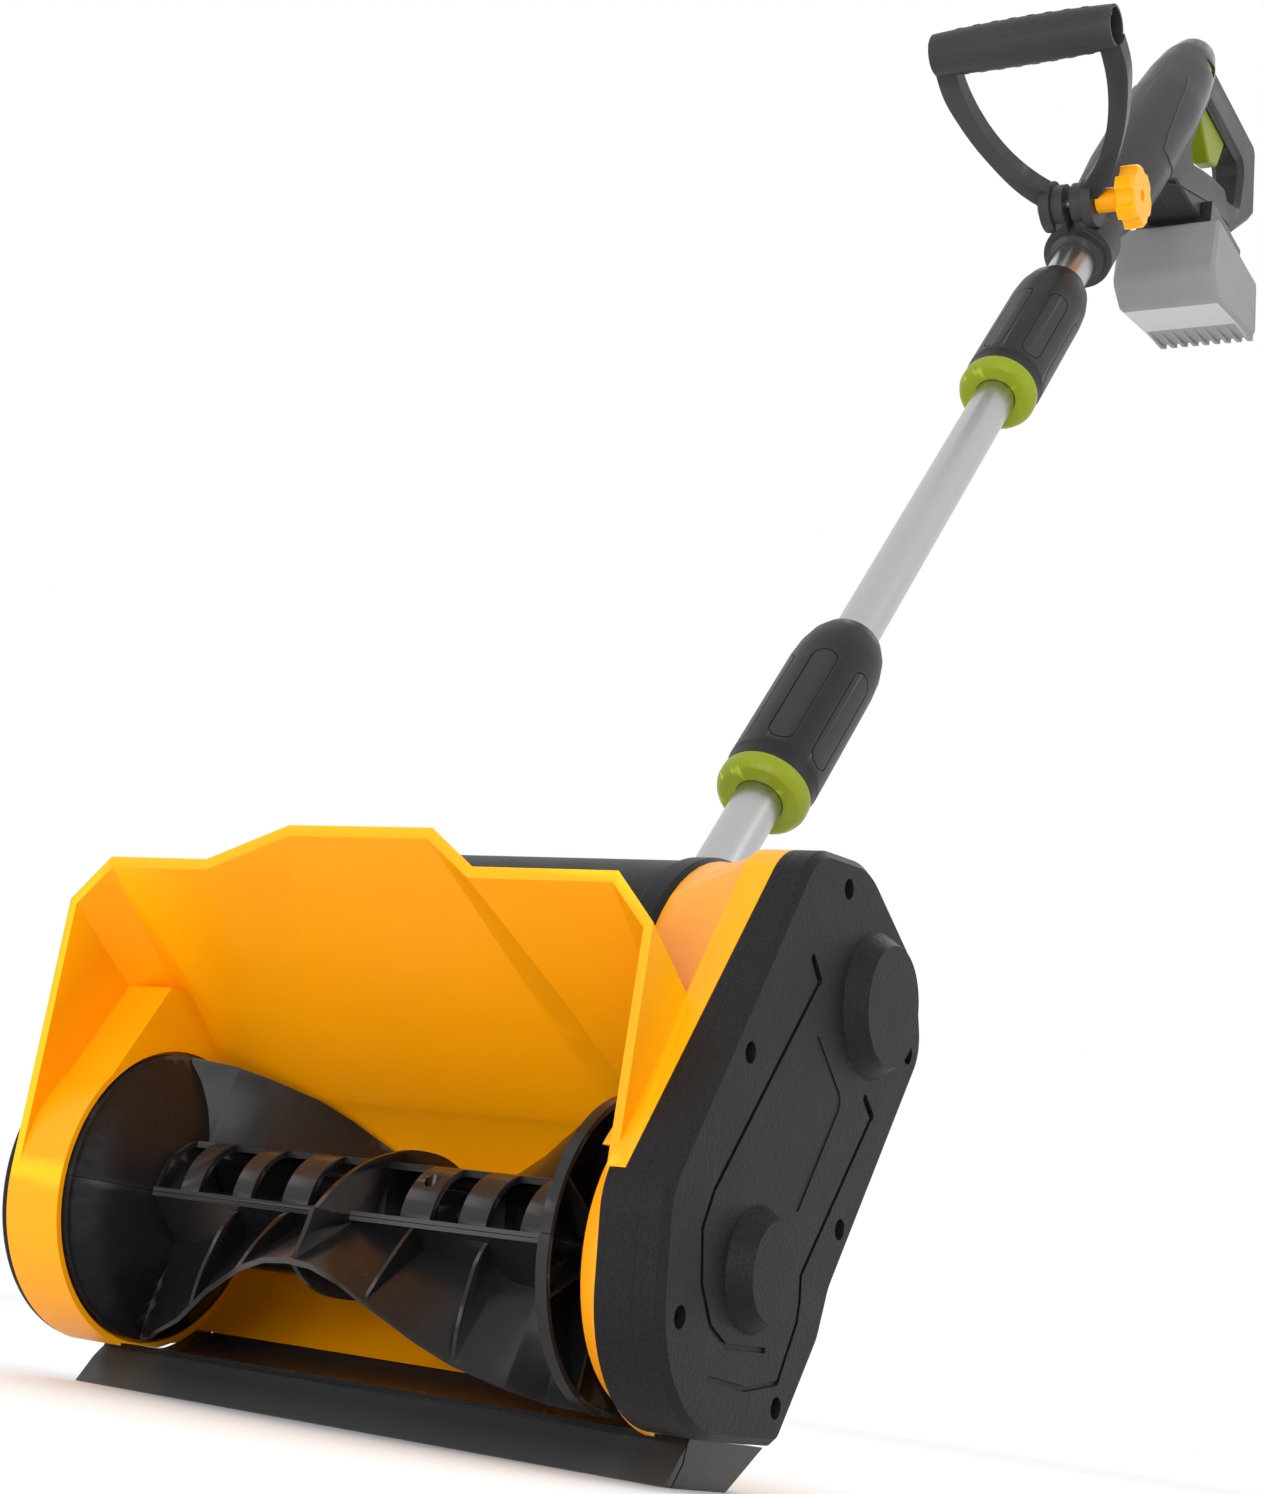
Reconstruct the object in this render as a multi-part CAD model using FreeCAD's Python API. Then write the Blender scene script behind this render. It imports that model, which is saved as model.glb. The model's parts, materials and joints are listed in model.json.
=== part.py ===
"""Cordless snow shovel: a scoop head with a belt-driven rotor, a telescopic pole and a battery handle.

Frame: +X towards the belt drive, +Y back towards the operator, +Z up. The origin is the middle of
the flat underside that the head stands on. Lengths are millimetres.
"""
import FreeCAD, Part
import math
import os

V = FreeCAD.Vector

# ---------------------------------------------------------------- driving dimensions
BASE_LENGTH = 52.0            # flat underside, front to back
EDGE_Y = -BASE_LENGTH / 2     # front edge of the scraper
BLADE_HALF = 153.0            # half the scraper's width
LIP_Y = -95.0                 # front plane of the scoop's mouth
SIDE_OUT = 151.0              # outer face of the scoop's side walls
WALL = 4.0                    # scoop wall
ROTOR_Y, ROTOR_Z = -27.3, 85.4
DISC_R = 63.5                 # rotor end discs
DISC_OUT = 124.5              # outer face of the rotor
CHEEK_R = ROTOR_Y - LIP_Y     # round front of the side walls, about the rotor
TROUGH_R = 68.0               # inside of the scoop behind the rotor
MOTOR_Y, MOTOR_Z = 51.1, 206.2
COVER_Y, COVER_Z, COVER_R = 51.0, 194.0, 72.0   # motor compartment
COVER_X0, COVER_X1 = -70.0, 105.0
CASE_X0, CASE_X1, CASE_X2 = 151.3, 167.5, 180.0  # belt casing, parting plane, cover face
SHAFT_ANGLE = 54.9            # pole above the ground
SHAFT_Y, SHAFT_Z = 144.9, 200.0                  # point on the pole axis from which s is counted
TUBE_R, TUBE_BORE = 14.0, 12.6
UPPER_R, UPPER_BORE = 15.5, 14.08
SLEEVE_R = 27.4
LOWER_S, UPPER_S = 190.0, 635.0                  # lower ends of the two lock rings, along the pole
RING_LENGTH, SLEEVE_LENGTH = 13.0, 148.0
TUBE_FOOT_S, MIDDLE_FOOT_S = -30.0, 262.0
MIDDLE_TOP_S, UPPER_FOOT_S, UPPER_TOP_S = 745.0, 692.0, 1015.0
PIVOT_S, PIVOT_N = 858.7, 36.3                   # D-handle pivot: along the pole, and above its axis
GRIP_REACH = 137.0            # pivot to the D-handle's grip
GRIP_HALF = 65.0              # half the length of the grip
GRIP_TILT = 27.3              # D-handle above the horizontal, pointing forward
NECK_R, BARREL_R = 21.0, 31.0
NECK_S, BARREL_END_S = 838.0, 1228.0
FOOT_Y0, FOOT_Y1, FOOT_Z = 832.0, 918.0, 1026.0  # battery foot
FOOT_HALF = 32.0
GAP = 0.3                     # air between neighbouring pieces
FIT = 0.05                    # radial clearance of a running fit

LEFT_CHEEK_X, RIGHT_CHEEK_X, CHEEK_TOP = -121.5, 137.5, 177.0
BEARING_R, SHAFT_R = 11.0, 5.0
SPLIT_RISE = 16.0             # parting line of the motor cover above its centre
SOCKET_R = 29.0
SOCKET_BOLTS = ((-58.0, -10.0), (-40.0, -10.0))   # along the pole, above its axis
BASE_TOP, TROUGH_Z = 19.5, 29.9   # top of the base under the side walls, and between them

# belt casing seen from the side: y, z and corner radius
CASE_OUTLINE = [(12, 21, 7), (-90, 18.5, 58), (-104, 105, 30), (-21.5, 257, 26), (30, 263, 40),
                (92, 232, 28), (108, 196, 22), (43, 85, 14), (38, 64, 20)]
CASE_STEP = [(149, 112), (158, 112), (164.5, 262), (164.5, 300), (149, 300)]   # x, z: the housing's share of the casing
CASE_MIDDLE = (0.0, 140.0)

ROTOR_TEETH, MOTOR_TEETH, BELT_PITCH = 54, 18, 5.0
ROTOR_PULLEY_R = ROTOR_TEETH * BELT_PITCH / (2 * math.pi)
MOTOR_PULLEY_R = MOTOR_TEETH * BELT_PITCH / (2 * math.pi)

PARTS = {}


def save(name, shape):
    """Keep a node's shape under its name."""
    PARTS[name] = shape


# ---------------------------------------------------------------- building helpers
def box(x0, x1, y0, y1, z0, z1):
    return Part.makeBox(x1 - x0, y1 - y0, z1 - z0, V(x0, y0, z0))


def cyl_x(y, z, radius, x0, x1):
    """Cylinder along X."""
    return Part.makeCylinder(radius, x1 - x0, V(x0, y, z), V(1, 0, 0))


def cone_x(y, z, r0, r1, x0, x1):
    return Part.makeCone(r0, r1, x1 - x0, V(x0, y, z), V(1, 0, 0))


def ring_x(y, z, r_in, r_out, x0, x1):
    return cyl_x(y, z, r_out, x0, x1).cut(cyl_x(y, z, r_in, x0 - 1, x1 + 1))


def fuse(shapes):
    """One solid from several that overlap."""
    first = shapes[0]
    if len(shapes) > 1:
        first = first.fuse(shapes[1:])
    return first.removeSplitter()


def rounded_wire(corners, place):
    """Closed wire from (a, b, radius) corners; place(a, b) gives the 3-D point."""
    count = len(corners)
    ends = []
    for i in range(count):
        a, b, radius = corners[i]
        pa, pb, _ = corners[i - 1]
        na, nb, _ = corners[(i + 1) % count]
        back = FreeCAD.Vector(pa - a, pb - b, 0).normalize()
        ahead = FreeCAD.Vector(na - a, nb - b, 0).normalize()
        here = V(a, b, 0)
        half = back.getAngle(ahead) / 2
        if radius <= 0:
            ends.append((here, None, here))
            continue
        reach = radius / math.tan(half)
        middle = (back + ahead).normalize() * (radius / math.sin(half) - radius)
        ends.append((here + back * reach, here + middle, here + ahead * reach))
    edges = []
    for i in range(count):
        start, middle, end = ends[i]
        if middle is not None:
            arc = Part.Arc(place(start.x, start.y), place(middle.x, middle.y), place(end.x, end.y))
            edges.append(arc.toShape())
        following = ends[(i + 1) % count][0]
        if (following - end).Length > 1e-6:
            edges.append(Part.makeLine(place(end.x, end.y), place(following.x, following.y)))
    return Part.Wire(edges)


def side_prism(corners, x0, x1):
    """Prism along X over a (y, z, radius) outline."""
    wire = rounded_wire(corners, lambda a, b: V(x0, a, b))
    return Part.Face(wire).extrude(V(x1 - x0, 0, 0))


def inset(corners, centre, distance):
    """The outline moved towards a centre by about the given distance."""
    moved = []
    for a, b, radius in corners:
        away = V(a - centre[0], b - centre[1], 0)
        short = away * ((away.Length - distance) / away.Length)
        moved.append((centre[0] + short.x, centre[1] + short.y, max(radius - distance, 1.0)))
    return moved


def polygon(points):
    return Part.makePolygon(points + [points[0]])


def loft(wires):
    return Part.makeLoft(wires, True, True)


def on_pole(shape):
    """Place a shape built along +Z: Z runs up the pole, -Y is above it."""
    shape = shape.copy()
    turn = FreeCAD.Rotation(V(1, 0, 0), SHAFT_ANGLE - 90)
    shape.Placement = FreeCAD.Placement(V(0, SHAFT_Y, SHAFT_Z), turn)
    return shape


def pole_point(s, n, x=0.0):
    """Point at s along the pole and n above its axis."""
    a = math.radians(SHAFT_ANGLE)
    return V(x, SHAFT_Y + s * math.cos(a) - n * math.sin(a), SHAFT_Z + s * math.sin(a) + n * math.cos(a))


def pole_rod(radius, s0, s1):
    return on_pole(Part.makeCylinder(radius, s1 - s0, V(0, 0, s0)))


def pole_ring(r_in, r_out, s0, s1):
    return pole_rod(r_out, s0, s1).cut(pole_rod(r_in, s0 - 1, s1 + 1))


def pole_revolve(profile):
    """Solid of revolution about the pole from (radius, s) points."""
    wire = polygon([V(r, 0, s) for r, s in profile])
    return on_pole(Part.Face(wire).revolve(V(0, 0, 0), V(0, 0, 1), 360))


def across_pole(s, n, radius, x0, x1):
    """Cylinder along X at a point of the pole."""
    middle = pole_point(s, n)
    return cyl_x(middle.y, middle.z, radius, x0, x1)


# ---------------------------------------------------------------- scoop
MOUTH_IN = [(-147, 18), (-147, 204.5), (-130, 222), (-76, 222), (-34, 238),
            (38, 238), (61, 222), (130, 222), (147, 204.5), (147, 18)]
MOUTH_OUT = [(-151, 14), (-151, 206), (-132, 226), (-77, 226), (-35, 242),
             (40, 242), (63, 226), (132, 226), (151, 206), (151, 14)]
BACK_Y = 24.0                 # where the sloping wall meets the round trough
BACK_IN = [(-147, 18), (-147, 129), (-130, 130), (-112, 130), (-80, 130),
           (92, 130), (116, 130), (130, 130), (147, 129), (147, 18)]
BACK_OUT = [(-151, 14), (-151, 134), (-131, 135.5), (-112, 135.5), (-80, 135.5),
            (92, 135.5), (116, 135.5), (131, 135.5), (151, 134), (151, 14)]


def mouth_loft(front, back, y0, y1):
    wires = []
    for outline, y in ((front, y0), (back, y1)):
        wires.append(polygon([V(x, y, z) for x, z in outline]))
    return loft(wires)


def side_shape(radius, x0, x1):
    """Side view of the scoop: upright lip above the rotor's axis, round below it."""
    upper = box(x0, x1, LIP_Y, 200, ROTOR_Z, 300)
    rear = side_prism([(ROTOR_Y, ROTOR_Z - radius, 0), (40, 30, 0), (200, 60, 0), (200, 120, 0),
                       (ROTOR_Y, 120, 0)], x0, x1)
    return fuse([cyl_x(ROTOR_Y, ROTOR_Z, radius, x0, x1), upper, rear])


def cheek(x0, x1, radius):
    """Block inside a side wall: round about the rotor, a sloping front above, and a level top."""
    corners = [(ROTOR_Y - 54, ROTOR_Z + 38.5, 0), (-50, 177, 3), (40, 177, 0), (40, 60, 0), (-27, 60, 0)]
    return fuse([cyl_x(ROTOR_Y, ROTOR_Z, radius, x0, x1), side_prism(corners, x0, x1)])


def radial_outline(corners, centre, x, steps):
    """Points of an outline at even angles about a centre, for lofting to another section."""
    face = Part.Face(rounded_wire(corners, lambda a, b: V(x, a, b)))
    edge = face.OuterWire
    points = []
    for k in range(steps):
        angle = 2 * math.pi * k / steps
        ray = Part.makeLine(V(x, centre[0], centre[1]),
                            V(x, centre[0] + 400 * math.cos(angle), centre[1] + 400 * math.sin(angle)))
        points.append(edge.distToShape(ray)[1][0][0])
    return points


def shoulder_block():
    """Block that widens from the round motor compartment to the outline of the belt casing."""
    steps = 48
    centre = (COVER_Y, COVER_Z - 4)
    wide = radial_outline(inset(CASE_OUTLINE, CASE_MIDDLE, 1.0), centre, SIDE_OUT, steps)
    narrow = []
    for k in range(steps):
        angle = 2 * math.pi * k / steps
        narrow.append(V(COVER_X1, COVER_Y + COVER_R * math.cos(angle), COVER_Z + COVER_R * math.sin(angle)))
    block = loft([polygon(narrow), polygon(wide)])
    return block.common(box(0, 200, -82, 200, 128, 300))


def scoop_housing():
    outer = mouth_loft(MOUTH_OUT, BACK_OUT, LIP_Y, BACK_Y)
    rear = cyl_x(ROTOR_Y, ROTOR_Z, TROUGH_R + WALL, -SIDE_OUT, SIDE_OUT)
    rear = rear.common(box(-SIDE_OUT, SIDE_OUT, ROTOR_Y, 80, 12, 150))
    shell = outer.fuse(rear)
    reach = box(-200, 200, -200, 200, ROTOR_Z, 300).fuse(box(-200, 200, -200, ROTOR_Y, 0, 300))
    inner = mouth_loft(MOUTH_IN, BACK_IN, LIP_Y - 1, BACK_Y).common(reach)
    swept = cyl_x(ROTOR_Y, ROTOR_Z, TROUGH_R, -SIDE_OUT + WALL, SIDE_OUT - WALL)
    shell = shell.cut(inner.fuse(swept))
    shell = shell.common(side_shape(CHEEK_R, -SIDE_OUT, SIDE_OUT))
    left = cheek(-SIDE_OUT + 1, LEFT_CHEEK_X, CHEEK_R)
    left = left.cut(cyl_x(ROTOR_Y, ROTOR_Z, DISC_R + 1.5, LEFT_CHEEK_X - 4.5, LEFT_CHEEK_X + 1))
    left = left.cut(cyl_x(ROTOR_Y, ROTOR_Z, 56.0, -SIDE_OUT + WALL, LEFT_CHEEK_X - 8.5))
    right = cheek(RIGHT_CHEEK_X, SIDE_OUT - 1, CHEEK_R)
    flare = cone_x(ROTOR_Y, ROTOR_Z, 60.0, CHEEK_R, RIGHT_CHEEK_X, SIDE_OUT)
    behind = box(RIGHT_CHEEK_X, SIDE_OUT, ROTOR_Y, 200, 0, 200)
    above = box(RIGHT_CHEEK_X, SIDE_OUT, -100, ROTOR_Y, ROTOR_Z + 36, 200)
    right = right.common(fuse([flare, behind, above]))
    right = right.cut(cyl_x(ROTOR_Y, ROTOR_Z, 54.0, RIGHT_CHEEK_X - 1, SIDE_OUT - WALL - 5))
    # motor trough behind the scoop, open at the top, and the closed shoulder beside the belt casing
    trough = cyl_x(COVER_Y, COVER_Z, COVER_R, COVER_X0, COVER_X1)
    trough = trough.common(box(-200, 200, -100, 200, 0, COVER_Z + SPLIT_RISE))
    web = side_prism([(10, 190, 0), (110, 175, 20), (44, 60, 20), (10, 60, 0)], COVER_X0, SIDE_OUT)
    body = fuse([shell, left, right, trough, shoulder_block(), web])
    cavity = cyl_x(COVER_Y, COVER_Z, COVER_R - 3.5, COVER_X0 + WALL, COVER_X1 - WALL)
    cavity = cavity.fuse(box(COVER_X0 + WALL, COVER_X1 - WALL, COVER_Y - 50, COVER_Y + 50, COVER_Z, 300))
    gearway = cyl_x(COVER_Y, COVER_Z, COVER_R - 8, COVER_X1 + WALL, SIDE_OUT - WALL)
    inside = inner.fuse(swept).common(box(LEFT_CHEEK_X, RIGHT_CHEEK_X, -200, 200, 0, 300))
    over_cheeks = inner.common(box(-200, 200, -200, 200, CHEEK_TOP, 300))
    body = body.cut(inside.fuse(over_cheeks))
    body = body.cut(cavity.cut(outer.fuse(rear)))
    body = body.cut(gearway.cut(outer.fuse(rear)))
    hollow = side_prism([(12, 188, 0), (104, 172, 18), (41, 64, 18), (12, 64, 0)],
                        COVER_X0 + WALL, SIDE_OUT - WALL)
    motor_wall = cyl_x(COVER_Y, COVER_Z, COVER_R, COVER_X0, SIDE_OUT)
    body = body.cut(hollow.cut(fuse([outer, rear, motor_wall])))
    # bearing seats of the rotor shaft, and the hole the motor's nose passes through
    seats = [cyl_x(ROTOR_Y, ROTOR_Z, BEARING_R + 5, -SIDE_OUT, -SIDE_OUT + 18),
             cyl_x(ROTOR_Y, ROTOR_Z, BEARING_R + 5, RIGHT_CHEEK_X + 0.5, SIDE_OUT)]
    body = body.fuse(seats)
    holes = [cyl_x(ROTOR_Y, ROTOR_Z, BEARING_R, -SIDE_OUT - 1, -SIDE_OUT + 11),
             cyl_x(ROTOR_Y, ROTOR_Z, SHAFT_R + 2, -SIDE_OUT, -120),
             cyl_x(ROTOR_Y, ROTOR_Z, BEARING_R, SIDE_OUT - 8, SIDE_OUT + 1),
             cyl_x(ROTOR_Y, ROTOR_Z, SHAFT_R + 2, 130, SIDE_OUT),
             cyl_x(MOTOR_Y, MOTOR_Z, 12.0, COVER_X1 - 10, SIDE_OUT + 1),
             box(-160, 160, EDGE_Y - 10, 60, -5, BASE_TOP),
             box(LEFT_CHEEK_X, RIGHT_CHEEK_X, EDGE_Y - 10, 60, -5, TROUGH_Z),
             pole_rod(SOCKET_R + GAP, TUBE_FOOT_S - 45, 200)]
    body = body.cut(fuse(holes))
    brackets = fuse([on_pole(box(x0, x0 + 6.5, -24, 22, -72, -20))
                     for x0 in (-SOCKET_R - GAP - 6.5, SOCKET_R + GAP)])
    brackets = brackets.cut(cyl_x(COVER_Y, COVER_Z, COVER_R - 3, -60, 60))
    body = body.fuse([brackets, case_back(SIDE_OUT - 1.0).common(case_step(0))])
    for s, n in SOCKET_BOLTS:
        body = body.cut(across_pole(s, n, 3.05, -60, 60))
    save("scoop_housing", max(body.Solids, key=lambda s: s.Volume))


def base_profile():
    """Side view of the base bar: steep front, shallow step, round trough, flat underside."""
    arc = []
    for k in range(9):
        angle = math.radians(-76 + 21 * k / 8)
        radius = TROUGH_R + 0.3
        arc.append((ROTOR_Y + radius * math.cos(angle), ROTOR_Z + radius * math.sin(angle)))
    return arc


def head_base():
    front = [V(-BLADE_HALF, EDGE_Y + 6.1, 0), V(-BLADE_HALF, EDGE_Y + 12.7, 9.2)]
    arc = [V(-BLADE_HALF, y, z) for y, z in base_profile()]
    rear = [V(-BLADE_HALF, y, z) for y, z in ((24.4, 29.55), (24.4, 34.4), (31, 34.4), (33, 27), (51, 26), (57, 20.7),
                                               (-EDGE_Y, 0))]
    bar = Part.Face(polygon(front + [V(-BLADE_HALF, EDGE_Y + 14.2, 16.8)] + arc + rear))
    bar = bar.extrude(V(2 * BLADE_HALF, 0, 0))
    for x0, x1 in ((-160, LEFT_CHEEK_X + GAP), (RIGHT_CHEEK_X - GAP, 160)):
        bar = bar.cut(box(x0, x1, -40, 60, BASE_TOP - GAP, 40))
    for k in range(3):
        for side in (-1, 1):
            x0 = side * (14 + 45 * k)
            bar = bar.cut(box(min(x0, x0 + side * 41), max(x0, x0 + side * 41), -8, 18, -1, 11))
    save("scraper_base", bar)
    blade = [V(-BLADE_HALF, EDGE_Y, 0), V(-BLADE_HALF, EDGE_Y + 8.6, 11.6), V(-BLADE_HALF, EDGE_Y + 14, 16.9),
             V(-BLADE_HALF, EDGE_Y + 12.2, 9.4), V(-BLADE_HALF, EDGE_Y + 5.7, 0)]
    strip = Part.Face(polygon(blade)).extrude(V(2 * BLADE_HALF, 0, 0))
    save("scraper_blade", strip)


def side_cap():
    """Round cap over the left bearing, on the outside of the scoop."""
    plate = cyl_x(ROTOR_Y, ROTOR_Z, CHEEK_R - 0.5, -SIDE_OUT - GAP - 4.2, -SIDE_OUT - GAP)
    plate = plate.makeFillet(2.5, [plate.Edges[k] for k in range(len(plate.Edges))
                                   if abs(plate.Edges[k].CenterOfMass.x + SIDE_OUT + GAP + 4.2) < 0.01])
    boss = cone_x(ROTOR_Y, ROTOR_Z, 17, 20, -SIDE_OUT - 8, -SIDE_OUT - 4)
    plug = cyl_x(ROTOR_Y, ROTOR_Z, BEARING_R - 0.2, -SIDE_OUT - GAP - 1, -SIDE_OUT + 2)
    plate = plate.cut(box(-160, -150, -200, 200, 0, BASE_TOP))
    save("left_side_cap", fuse([plate, boss, plug]))


def scoop_bearings():
    """Two identical ball bearings that carry the rotor shaft."""
    rings = [ring_x(ROTOR_Y, ROTOR_Z, SHAFT_R + FIT, BEARING_R, -SIDE_OUT + 3.5, -SIDE_OUT + 10.5),
             ring_x(ROTOR_Y, ROTOR_Z, SHAFT_R + FIT, BEARING_R, SIDE_OUT - 7.5, SIDE_OUT - 0.5)]
    save("rotor_bearings", Part.Compound(rings))


# ---------------------------------------------------------------- belt drive
COVER_SCREWS = [(11.5, 247.5), (-56.0, 165.0), (91.5, 193.0), (44.0, 110.2), (-82.5, 62.0), (6.0, 35.5)]
SCREW_R, SCREW_HEAD_R, POST_R = 2.0, 3.9, 5.6
CASE_WALL = 3.4
PULLEY_X0, PULLEY_X1 = 157.0, 170.0
COVER_GROOVES = (
    [(-4.6, 204.6), (-69.6, 110.3), (-74.8, 95.2), (-69.3, 75.4), (-57.8, 60.8), (-43.6, 55.0), (-10.7, 56.3)],
    [(61.6, 160.4), (13.0, 87.9), (15.0, 78.0), (14.7, 69.4), (4.3, 45.1), (-22.8, 40.7), (-53.8, 42.3)])
COVER_SLOTS = ([(-13.0, 212.0), (-4.6, 204.6)], [(53.0, 166.3), (61.6, 160.4)])
LABEL_PANEL = [(-0.2, 183.6, 2), (31.4, 161.5, 6), (2.6, 110.8, 2), (-29.0, 132.9, 2)]


def channel(points, width, x0, x1):
    """Round-ended channel along a line of points in the side view."""
    pieces = [cyl_x(y, z, width / 2, x0, x1) for y, z in points]
    for (y0, z0), (y1, z1) in zip(points, points[1:]):
        reach = width / 2 / math.hypot(y1 - y0, z1 - z0)
        dy = (z0 - z1) * reach
        dz = (y1 - y0) * reach
        corners = [(y0 + dy, z0 + dz, 0), (y1 + dy, z1 + dz, 0), (y1 - dy, z1 - dz, 0), (y0 - dy, z0 - dz, 0)]
        pieces.append(side_prism(corners, x0, x1))
    return fuse(pieces)


def case_back(x0):
    """Rear half of the belt casing, up to the parting plane, with the screw posts and the two shaft holes."""
    casing = side_prism(CASE_OUTLINE, x0, CASE_X1)
    casing = casing.cut(side_prism(inset(CASE_OUTLINE, CASE_MIDDLE, CASE_WALL + 1.0), CASE_X0 + CASE_WALL, CASE_X1 + 1))
    for y, z in COVER_SCREWS:
        casing = casing.fuse(cyl_x(y, z, POST_R, CASE_X0 + 1, CASE_X1))
        casing = casing.cut(cyl_x(y, z, SCREW_R, CASE_X0 + 3, CASE_X1 + 1))
    casing = casing.cut(cyl_x(ROTOR_Y, ROTOR_Z, SHAFT_R + 2, x0 - 1, CASE_X0 + 10))
    return casing.cut(cyl_x(MOTOR_Y, MOTOR_Z, 12.0, x0 - 1, CASE_X0 + 10))


def case_step(grow):
    """Upper part of the casing's rear half, which the housing forms."""
    corners = [(x + grow, z - grow) for x, z in CASE_STEP]
    return Part.Face(polygon([V(x, -160, z) for x, z in corners])).extrude(V(0, 320, 0))


def belt_case():
    wall = CASE_WALL
    inner = inset(CASE_OUTLINE, CASE_MIDDLE, wall + 1.0)
    casing = case_back(CASE_X0).cut(case_step(GAP))
    cover = side_prism(CASE_OUTLINE, CASE_X1 + 0.1, CASE_X2)
    rim = [e for e in cover.Edges if abs(e.CenterOfMass.x - CASE_X2) < 0.01]
    cover = cover.makeChamfer(3.0, rim)
    cover = cover.cut(side_prism(inner, CASE_X1 - 1, CASE_X2 - wall))
    for y, z, base_r, top_r in ((MOTOR_Y, MOTOR_Z, 32.5, 26.0), (ROTOR_Y, ROTOR_Z, 25.5, 19.5)):
        cover = cover.fuse(cone_x(y, z, base_r, top_r, CASE_X2 - 1, CASE_X2 + 9))
        cover = cover.cut(cone_x(y, z, base_r - 4, top_r - 4, CASE_X2 - wall - 1, CASE_X2 + 9 - wall))
    head_x = CASE_X2 - 7.0
    screws = []
    for y, z in COVER_SCREWS:
        cover = cover.fuse(cyl_x(y, z, POST_R, CASE_X1 + 0.1, CASE_X2 - 1))
        cover = cover.cut(cyl_x(y, z, SCREW_R + 0.2, CASE_X1 - 1, CASE_X2))
        cover = cover.cut(cyl_x(y, z, SCREW_HEAD_R + 0.5, head_x, CASE_X2 + 1))
        head = cyl_x(y, z, SCREW_HEAD_R, head_x, head_x + 2.6)
        slot = box(head_x + 1.2, head_x + 3, y - 2.4, y + 2.4, z - 0.5, z + 0.5)
        cross = box(head_x + 1.2, head_x + 3, y - 0.5, y + 0.5, z - 2.4, z + 2.4)
        screws.append(fuse([cyl_x(y, z, SCREW_R, CASE_X0 + 4, head_x + 0.5), head]).cut(slot.fuse(cross)))
    for line in COVER_GROOVES:
        cover = cover.cut(channel(line, 2.2, CASE_X2 - 1.1, CASE_X2 + 1))
    for line in COVER_SLOTS:
        cover = cover.cut(channel(line, 4.0, CASE_X2 - 2.2, CASE_X2 + 1))
    cover = cover.cut(side_prism(LABEL_PANEL, CASE_X2 - 0.5, CASE_X2 + 1))
    save("belt_casing", max(casing.removeSplitter().Solids, key=lambda solid: solid.Volume))
    save("belt_cover", cover.removeSplitter())
    save("belt_cover_screws", Part.Compound(screws))


def toothed_pulley(y, z, pitch_r, teeth, bore, flange):
    """Belt pulley with square teeth between two flanges."""
    body = cyl_x(y, z, pitch_r - 0.2, PULLEY_X0, PULLEY_X1)
    notches = []
    for k in range(teeth):
        angle = 2 * math.pi * k / teeth
        notch = box(PULLEY_X0 - 1, PULLEY_X1 + 1, pitch_r - 2.0, pitch_r + 1, -0.9, 0.9)
        notch.rotate(V(0, 0, 0), V(1, 0, 0), math.degrees(angle))
        notch.translate(V(0, y, z))
        notches.append(notch)
    body = body.cut(Part.Compound(notches))
    sides = [cyl_x(y, z, pitch_r + flange, PULLEY_X0 - 1.5, PULLEY_X0),
             cyl_x(y, z, pitch_r + flange, PULLEY_X1, PULLEY_X1 + 1.5)]
    return fuse([body] + sides).cut(cyl_x(y, z, bore + 0.02, PULLEY_X0 - 3, PULLEY_X1 + 3))


def belt_band(extra):
    """Area round both pulleys, extra outside their radius, as a prism along X."""
    centres = ((ROTOR_Y, ROTOR_Z, ROTOR_PULLEY_R + extra), (MOTOR_Y, MOTOR_Z, MOTOR_PULLEY_R + extra))
    across, up = MOTOR_Y - ROTOR_Y, MOTOR_Z - ROTOR_Z
    heading = math.atan2(up, across)
    spread = math.acos((centres[0][2] - centres[1][2]) / math.hypot(across, up))
    x0, x1 = PULLEY_X0 + 0.5, PULLEY_X1 - 0.5
    points = []
    for index, side in ((0, 1), (1, 1), (1, -1), (0, -1)):
        y, z, radius = centres[index]
        points.append(V(x0, y + radius * math.cos(heading + side * spread),
                        z + radius * math.sin(heading + side * spread)))
    strip = Part.Face(polygon(points)).extrude(V(x1 - x0, 0, 0))
    return fuse([strip] + [cyl_x(y, z, radius, x0, x1) for y, z, radius in centres])


def hex_nut(y, z, bore, across):
    """Flanged hexagon nut that holds a pulley on its shaft."""
    x0 = PULLEY_X1 + 1.6
    radius = across / 2 / math.cos(math.pi / 6)
    corners = [V(x0 + 0.8, y + radius * math.cos(k * math.pi / 3), z + radius * math.sin(k * math.pi / 3))
               for k in range(6)]
    body = Part.Face(polygon(corners)).extrude(V(3.6, 0, 0))
    return fuse([body, cyl_x(y, z, radius + 1.0, x0, x0 + 1.0)]).cut(cyl_x(y, z, bore, x0 - 1, x0 + 6))


def belt_drive():
    save("rotor_pulley_nut", hex_nut(ROTOR_Y, ROTOR_Z, SHAFT_R + 0.02, 15.0))
    save("motor_pulley_nut", hex_nut(MOTOR_Y, MOTOR_Z, MOTOR_SHAFT_R + 0.02, 12.0))
    save("drive_belt", belt_band(2.6).cut(belt_band(GAP)))
    save("rotor_pulley", toothed_pulley(ROTOR_Y, ROTOR_Z, ROTOR_PULLEY_R, ROTOR_TEETH, SHAFT_R, 2.0))
    save("motor_pulley", toothed_pulley(MOTOR_Y, MOTOR_Z, MOTOR_PULLEY_R, MOTOR_TEETH, MOTOR_SHAFT_R, 4.0))


# ---------------------------------------------------------------- motor
MOTOR_SHAFT_R = 4.0
CAN_X0, CAN_X1, CAN_R = 2.0, 100.7, 31.0


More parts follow.
